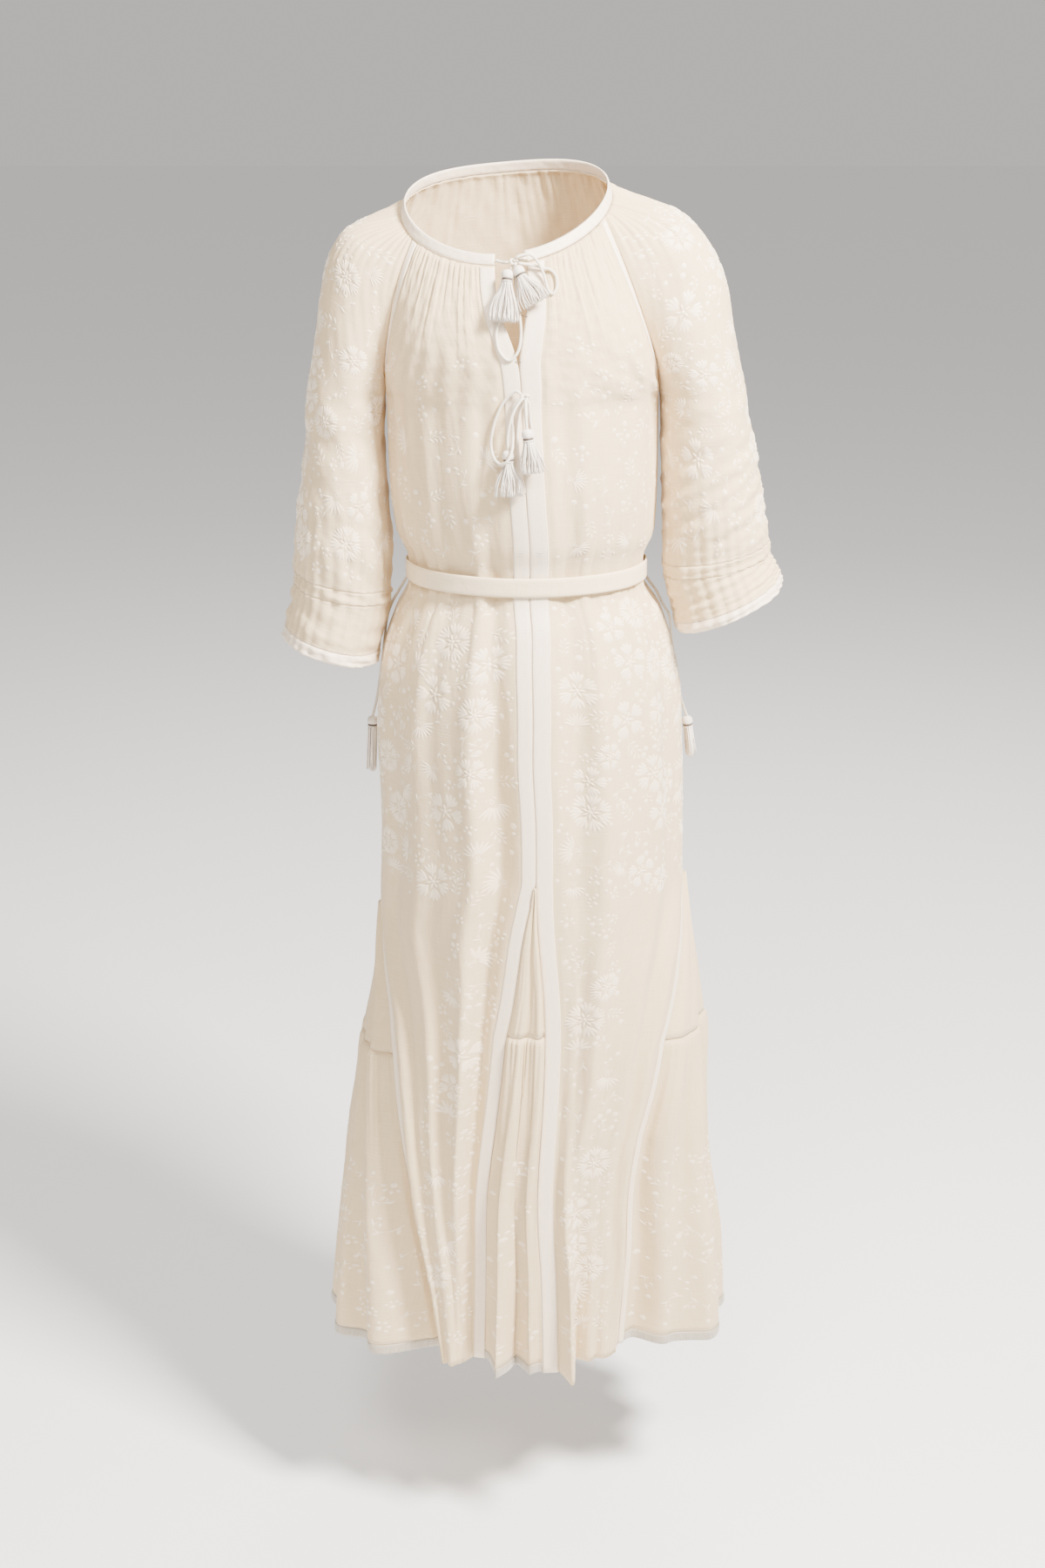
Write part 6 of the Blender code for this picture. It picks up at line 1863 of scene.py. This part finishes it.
@dataclass(frozen=True)
class Tassel:
    """A yarn tassel: where its head starts, where its threads end, and how far they spread."""

    name: str
    top: Point
    end: Point
    half_width: float
    half_depth: float
    facing: Point
    seed: int
    head: float = 12 * MM
    threads: int = 100
    thread_radius: float = 0.62 * MM
    # Share of the head's length and radius in metres
    profile: tuple[tuple[float, float], ...] = (
        (0.0, 0.0008), (0.04, 0.0030), (0.14, 0.0046), (0.30, 0.0056), (0.48, 0.0059), (0.64, 0.0056),
        (0.76, 0.0047), (0.84, 0.0045), (0.92, 0.0052), (1.0, 0.0058),
    )

    def frame(self) -> tuple[Array, Array, Array, float]:
        """Down, wide and deep directions, and the whole length."""
        top, end = np.array(self.top), np.array(self.end)
        down = unit(end - top)
        deep = np.array(self.facing, float)
        deep = unit(deep - down * np.dot(deep, down))
        return down, np.cross(down, deep), deep, float(np.linalg.norm(end - top))

    def build(self, yarn: bpy.types.Material, binding: bpy.types.Material) -> bpy.types.Object:
        """Builds head, binding and threads in one piece.

        Args:
            yarn: The yarn's material.
            binding: The material of the thread tied round the head.

        Returns:
            The tassel.
        """
        down, wide, deep, length = self.frame()
        dice = random.Random(self.seed)
        top = np.array(self.top)
        mesh = Mesh()
        shares = np.linspace(0, 1, 19)
        radius = Curve(tuple(r[0] for r in self.profile), tuple(r[1] for r in self.profile)).at(shares)
        turn = np.arange(72) / 72 * math.tau
        groove = 1 - 0.09 * (1 - np.abs(np.sin(turn * 12 + 2.5 * shares[:, None])) ** 0.7)
        ring = wide * np.cos(turn)[:, None] + deep * np.sin(turn)[:, None]
        rises = down * (shares * self.head)[:, None, None]
        head = top + rises + ring[None] * (radius[:, None] * groove)[..., None]
        head = np.concatenate((head[:1] * 0 + top, head, head[-1:] * 0 + top + down * self.head))
        places = np.stack(
            np.broadcast_arrays(turn * 5 * MM, -np.r_[0, shares, 1][:, None] * self.head), axis=-1
        )
        mesh.grid(head, places, ring=True, flip=True)
        for _ in range(self.threads):
            self._thread(mesh, dice, down, wide, deep, length)
        yarn_quads = sum(len(f) for f in mesh.faces)
        for row in range(4):
            centre = top + down * self.head * (0.755 + 0.035 * row)
            loop = centre + ring * 4.95 * MM
            tube(mesh, np.concatenate((loop, loop[:2]))[::2], 0.42 * MM, 5)
        thing = mesh.build(self.name, yarn)
        thing.data.materials.append(binding)
        slots = (np.arange(len(thing.data.polygons)) >= yarn_quads).astype(np.int32)
        thing.data.polygons.foreach_set("material_index", slots)
        return thing

    def _thread(
        self, mesh: Mesh, dice: random.Random, down: Array, wide: Array, deep: Array, length: float
    ) -> None:
        """Adds one thread that leaves the head and hangs with a slight wave."""
        turn, share = dice.uniform(0, math.tau), math.sqrt(dice.random())
        root = np.array((math.cos(turn), math.sin(turn))) * share
        start = self.head * 0.93
        long = length - start - dice.uniform(0, 5 * MM) * dice.random()
        t = np.linspace(0, 1, 11)
        swell = ease(t * 1.3)
        drift = dice.gauss(0, 1.3 * MM)
        wave, phase = dice.uniform(0.3, 1.1) * MM, dice.uniform(0, math.tau)
        reach_x = mix(5.0 * MM, self.half_width - 0.8 * MM, swell) * root[0] + drift * t**2
        reach_y = mix(5.0 * MM, self.half_depth - 0.8 * MM, swell) * root[1] + drift * t**2 * 0.3
        reach_x = reach_x + wave * np.sin(t * 7 + phase) * t
        route = np.array(self.top) + down * (start + long * t)[:, None]
        route = route + wide * reach_x[:, None] + deep * reach_y[:, None]
        tube(mesh, route, self.thread_radius * mix(1.0, 0.8, t), 3)


TASSELS = (
    Tassel(
        "neck_tassel_left", (-0.0142, -0.1074, -0.0424), (-0.0186, -0.1225, -0.0910),
        0.0150, 0.0046, (0, 1, 0), 1,
    ),
    Tassel(
        "neck_tassel_right", (-0.0062, -0.1060, -0.0396), (0.0130, -0.1195, -0.0740),
        0.0150, 0.0046, (0, 1, 0), 2,
    ),
    Tassel(
        "chest_tassel_left", (-0.0144, -0.1332, -0.2140), (-0.0128, -0.1370, -0.2600),
        0.0165, 0.0066, (0, 1, 0), 3,
    ),
    Tassel(
        "chest_tassel_right", (0.0043, -0.1390, -0.1920), (0.0090, -0.1415, -0.2360),
        0.0130, 0.0064, (0, 1, 0), 4,
    ),
    Tassel(
        "belt_tassel_right", (0.1790, 0.0135, -0.5330), (0.1840, 0.0145, -0.5770),
        0.0130, 0.0064, (1, 0, 0), 5,
    ),
    Tassel(
        "belt_tassel_left", (-0.1630, 0.0135, -0.5330), (-0.1655, 0.0145, -0.5940),
        0.0130, 0.0064, (1, 0, 0), 6,
    ),
)


@dataclass
class Ties:
    """The cords, their knots and their tassels."""

    diameter: float = 3.0 * MM
    stub: float = 2.2 * MM
    step: float = 0.75 * MM
    shortest: float = 30 * MM
    rooted: float = 4 * MM
    made: dict[str, bpy.types.Object] = field(default_factory=dict)

    def route(self, cord: Cord) -> Array:
        """A cord's middle line in metres, from knot or cloth to its far end."""
        points = [np.array(p) * MM for p in cord.route]
        knot = KNOTS.get(cord.knot or "")
        if knot and cord.out:
            points = [knot.edge(cord.out), knot.edge(cord.out, self.stub)] + points
        if cord.far_end is FarEnd.TASSEL:
            last = np.array(cord.into) * MM
            points += [last, last + unit(last - points[-1]) * self.rooted]
        else:
            points += [knot.edge(cord.into, self.stub), knot.edge(cord.into)]
        return smooth_route(np.array(points), self.step)

    def build_knot(self, knot: Knot, yarn: bpy.types.Material) -> bpy.types.Object:
        """A cord turned over itself three times inside the knot's space."""
        turn = np.linspace(0, math.tau, 131)
        radius = self.diameter / 2 * 0.95
        loop = np.stack(
            (
                (np.sin(turn) + 2 * np.sin(2 * turn)) / 3,
                np.sin(3 * turn) * 0.62,
                (np.cos(turn) - 2 * np.cos(2 * turn)) / 3,
            ),
            axis=-1,
        )
        room = np.array(knot.half) - radius * np.array((1.0, 0.75, 1.0))
        mesh = Mesh()
        tube(mesh, np.array(knot.centre) + loop * room, radius, 16, plies=2)
        return mesh.build(f"{knot.name}_cord", yarn)

    def build(self) -> None:
        """Builds and declares every tie."""
        yarn, tassel_yarn, brown = CORD_YARN.make(), TASSEL_YARN.make(), BROWN_THREAD_AND_SHADOW.make()
        for knot in KNOTS.values():
            self.place(self.build_knot(knot, yarn), knot.name, "cord")
        for tassel in TASSELS:
            thing = tassel.build(tassel_yarn, brown)
            thing.name = f"{tassel.name}_yarn"
            self.place(thing, tassel.name, "tassel")
        routes = {cord.name: self.route(cord) for cord in CORDS}
        for cord in CORDS:
            mesh = Mesh()
            tube(mesh, routes[cord.name], self.diameter / 2, 11, plies=2)
            self.place(mesh.build(f"{cord.name}_twist", yarn), cord.name, "cord")
        for cord in CORDS:
            self.declare(cord, routes[cord.name])

    def declare(self, cord: Cord, route: Array) -> None:
        """Logs how long a cord is and, unless it is very short, looks up the pieces on it; very short ones
        are pieces on a longer one.
        """
        length = float(np.linalg.norm(np.diff(route, axis=0), axis=-1).sum())
        LOG.info("%s is %.1f mm long", cord.name, length / MM)
        if length < self.shortest:
            return
        [self.made[name] for name in cord.pieces]

    def place(self, thing: bpy.types.Object, node: str, slot: str) -> None:
        """Says what a piece of a tie stands for, and remembers it."""
        declare(thing, slot, node)
        self.made[node] = thing


@dataclass(frozen=True)
class Softbox:
    """A square lamp: where it stands, how large and strong it is, and its colour."""

    name: str
    place: Point
    size: float
    power: float
    colour: tuple[float, float, float] = (1.0, 1.0, 1.0)


@dataclass
class Studio:
    """Camera, pale floor and soft light."""

    camera_place: Point = (0.0, -2.36, 0.21)
    tilt: float = 70.9
    lens: float = 52.4
    floor_z: float = -1.47
    aim: Point = (0.0, 0.0, -0.55)
    lamps: tuple[Softbox, ...] = (
        Softbox("key", (1.2, -1.1, 1.3), 0.5, 375.0, (1.0, 0.945, 0.86)),
        Softbox("fill", (-0.6, -2.0, 1.7), 1.0, 85.0, (1.0, 0.95, 0.88)),
        Softbox("rim", (0.6, 2.3, 1.5), 1.4, 60.0),
    )
    world: float = 0.62

    def build(self) -> None:
        """Sets up everything around the dress."""
        scene = bpy.context.scene
        data = bpy.data.cameras.new("camera")
        data.lens, data.sensor_width = self.lens, 36.0
        data.clip_end = 60.0
        camera = bpy.data.objects.new("camera", data)
        camera.location = self.camera_place
        camera.rotation_euler = (math.radians(self.tilt), 0.0, 0.0)
        scene.collection.objects.link(camera)
        scene.camera = camera
        for lamp in self.lamps:
            self._lamp(lamp)
        self._world(scene)
        self._floor()

    def _lamp(self, lamp: Softbox) -> None:
        """Adds one lamp aimed at the dress."""
        data = bpy.data.lights.new(lamp.name, "AREA")
        data.energy, data.size, data.color = lamp.power, lamp.size, lamp.colour
        thing = bpy.data.objects.new(lamp.name, data)
        thing.location = lamp.place
        way = Vector(self.aim) - Vector(lamp.place)
        thing.rotation_euler = way.to_track_quat("-Z", "Y").to_euler()
        bpy.context.scene.collection.objects.link(thing)

    def _world(self, scene: bpy.types.Scene) -> None:
        """Fills the surroundings with plain soft light."""
        world = bpy.data.worlds.new("studio_white")
        world.use_nodes = True
        back = world.node_tree.nodes["Background"]
        back.inputs["Color"].default_value = (1.0, 0.975, 0.94, 1.0)
        back.inputs["Strength"].default_value = self.world
        scene.world = world

    def _floor(self) -> None:
        """Lays a pale floor that fills the view."""
        shader = Shader("studio_floor")
        tone = shader.node("ShaderNodeTexNoise", {}, {"Scale": 1.5})
        colour = shader.blend(tone.ramp(0.2, 0.8), (0.93, 0.93, 0.93), (0.95, 0.95, 0.95))
        shader.feed(shader.surface.inputs["Base Color"], colour)
        shader.surface.inputs["Roughness"].default_value = 0.9
        mesh = Mesh()
        x, y = np.meshgrid(np.linspace(-14, 14, 5), np.linspace(22, -8, 5))
        points = np.stack((x, y, np.full(x.shape, self.floor_z)), axis=-1)
        mesh.grid(points, points[..., :2])
        mesh.build("floor", shader.material, smooth=False)


def main() -> None:
    """Builds the dress in order: studio, cloth, ties."""
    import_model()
    Studio().build()
    Dress().build()
    Ties().build()


if __name__ == "__main__":
    logging.basicConfig(level=logging.INFO, format="%(relativeCreated)d %(name)s %(message)s")
    main()
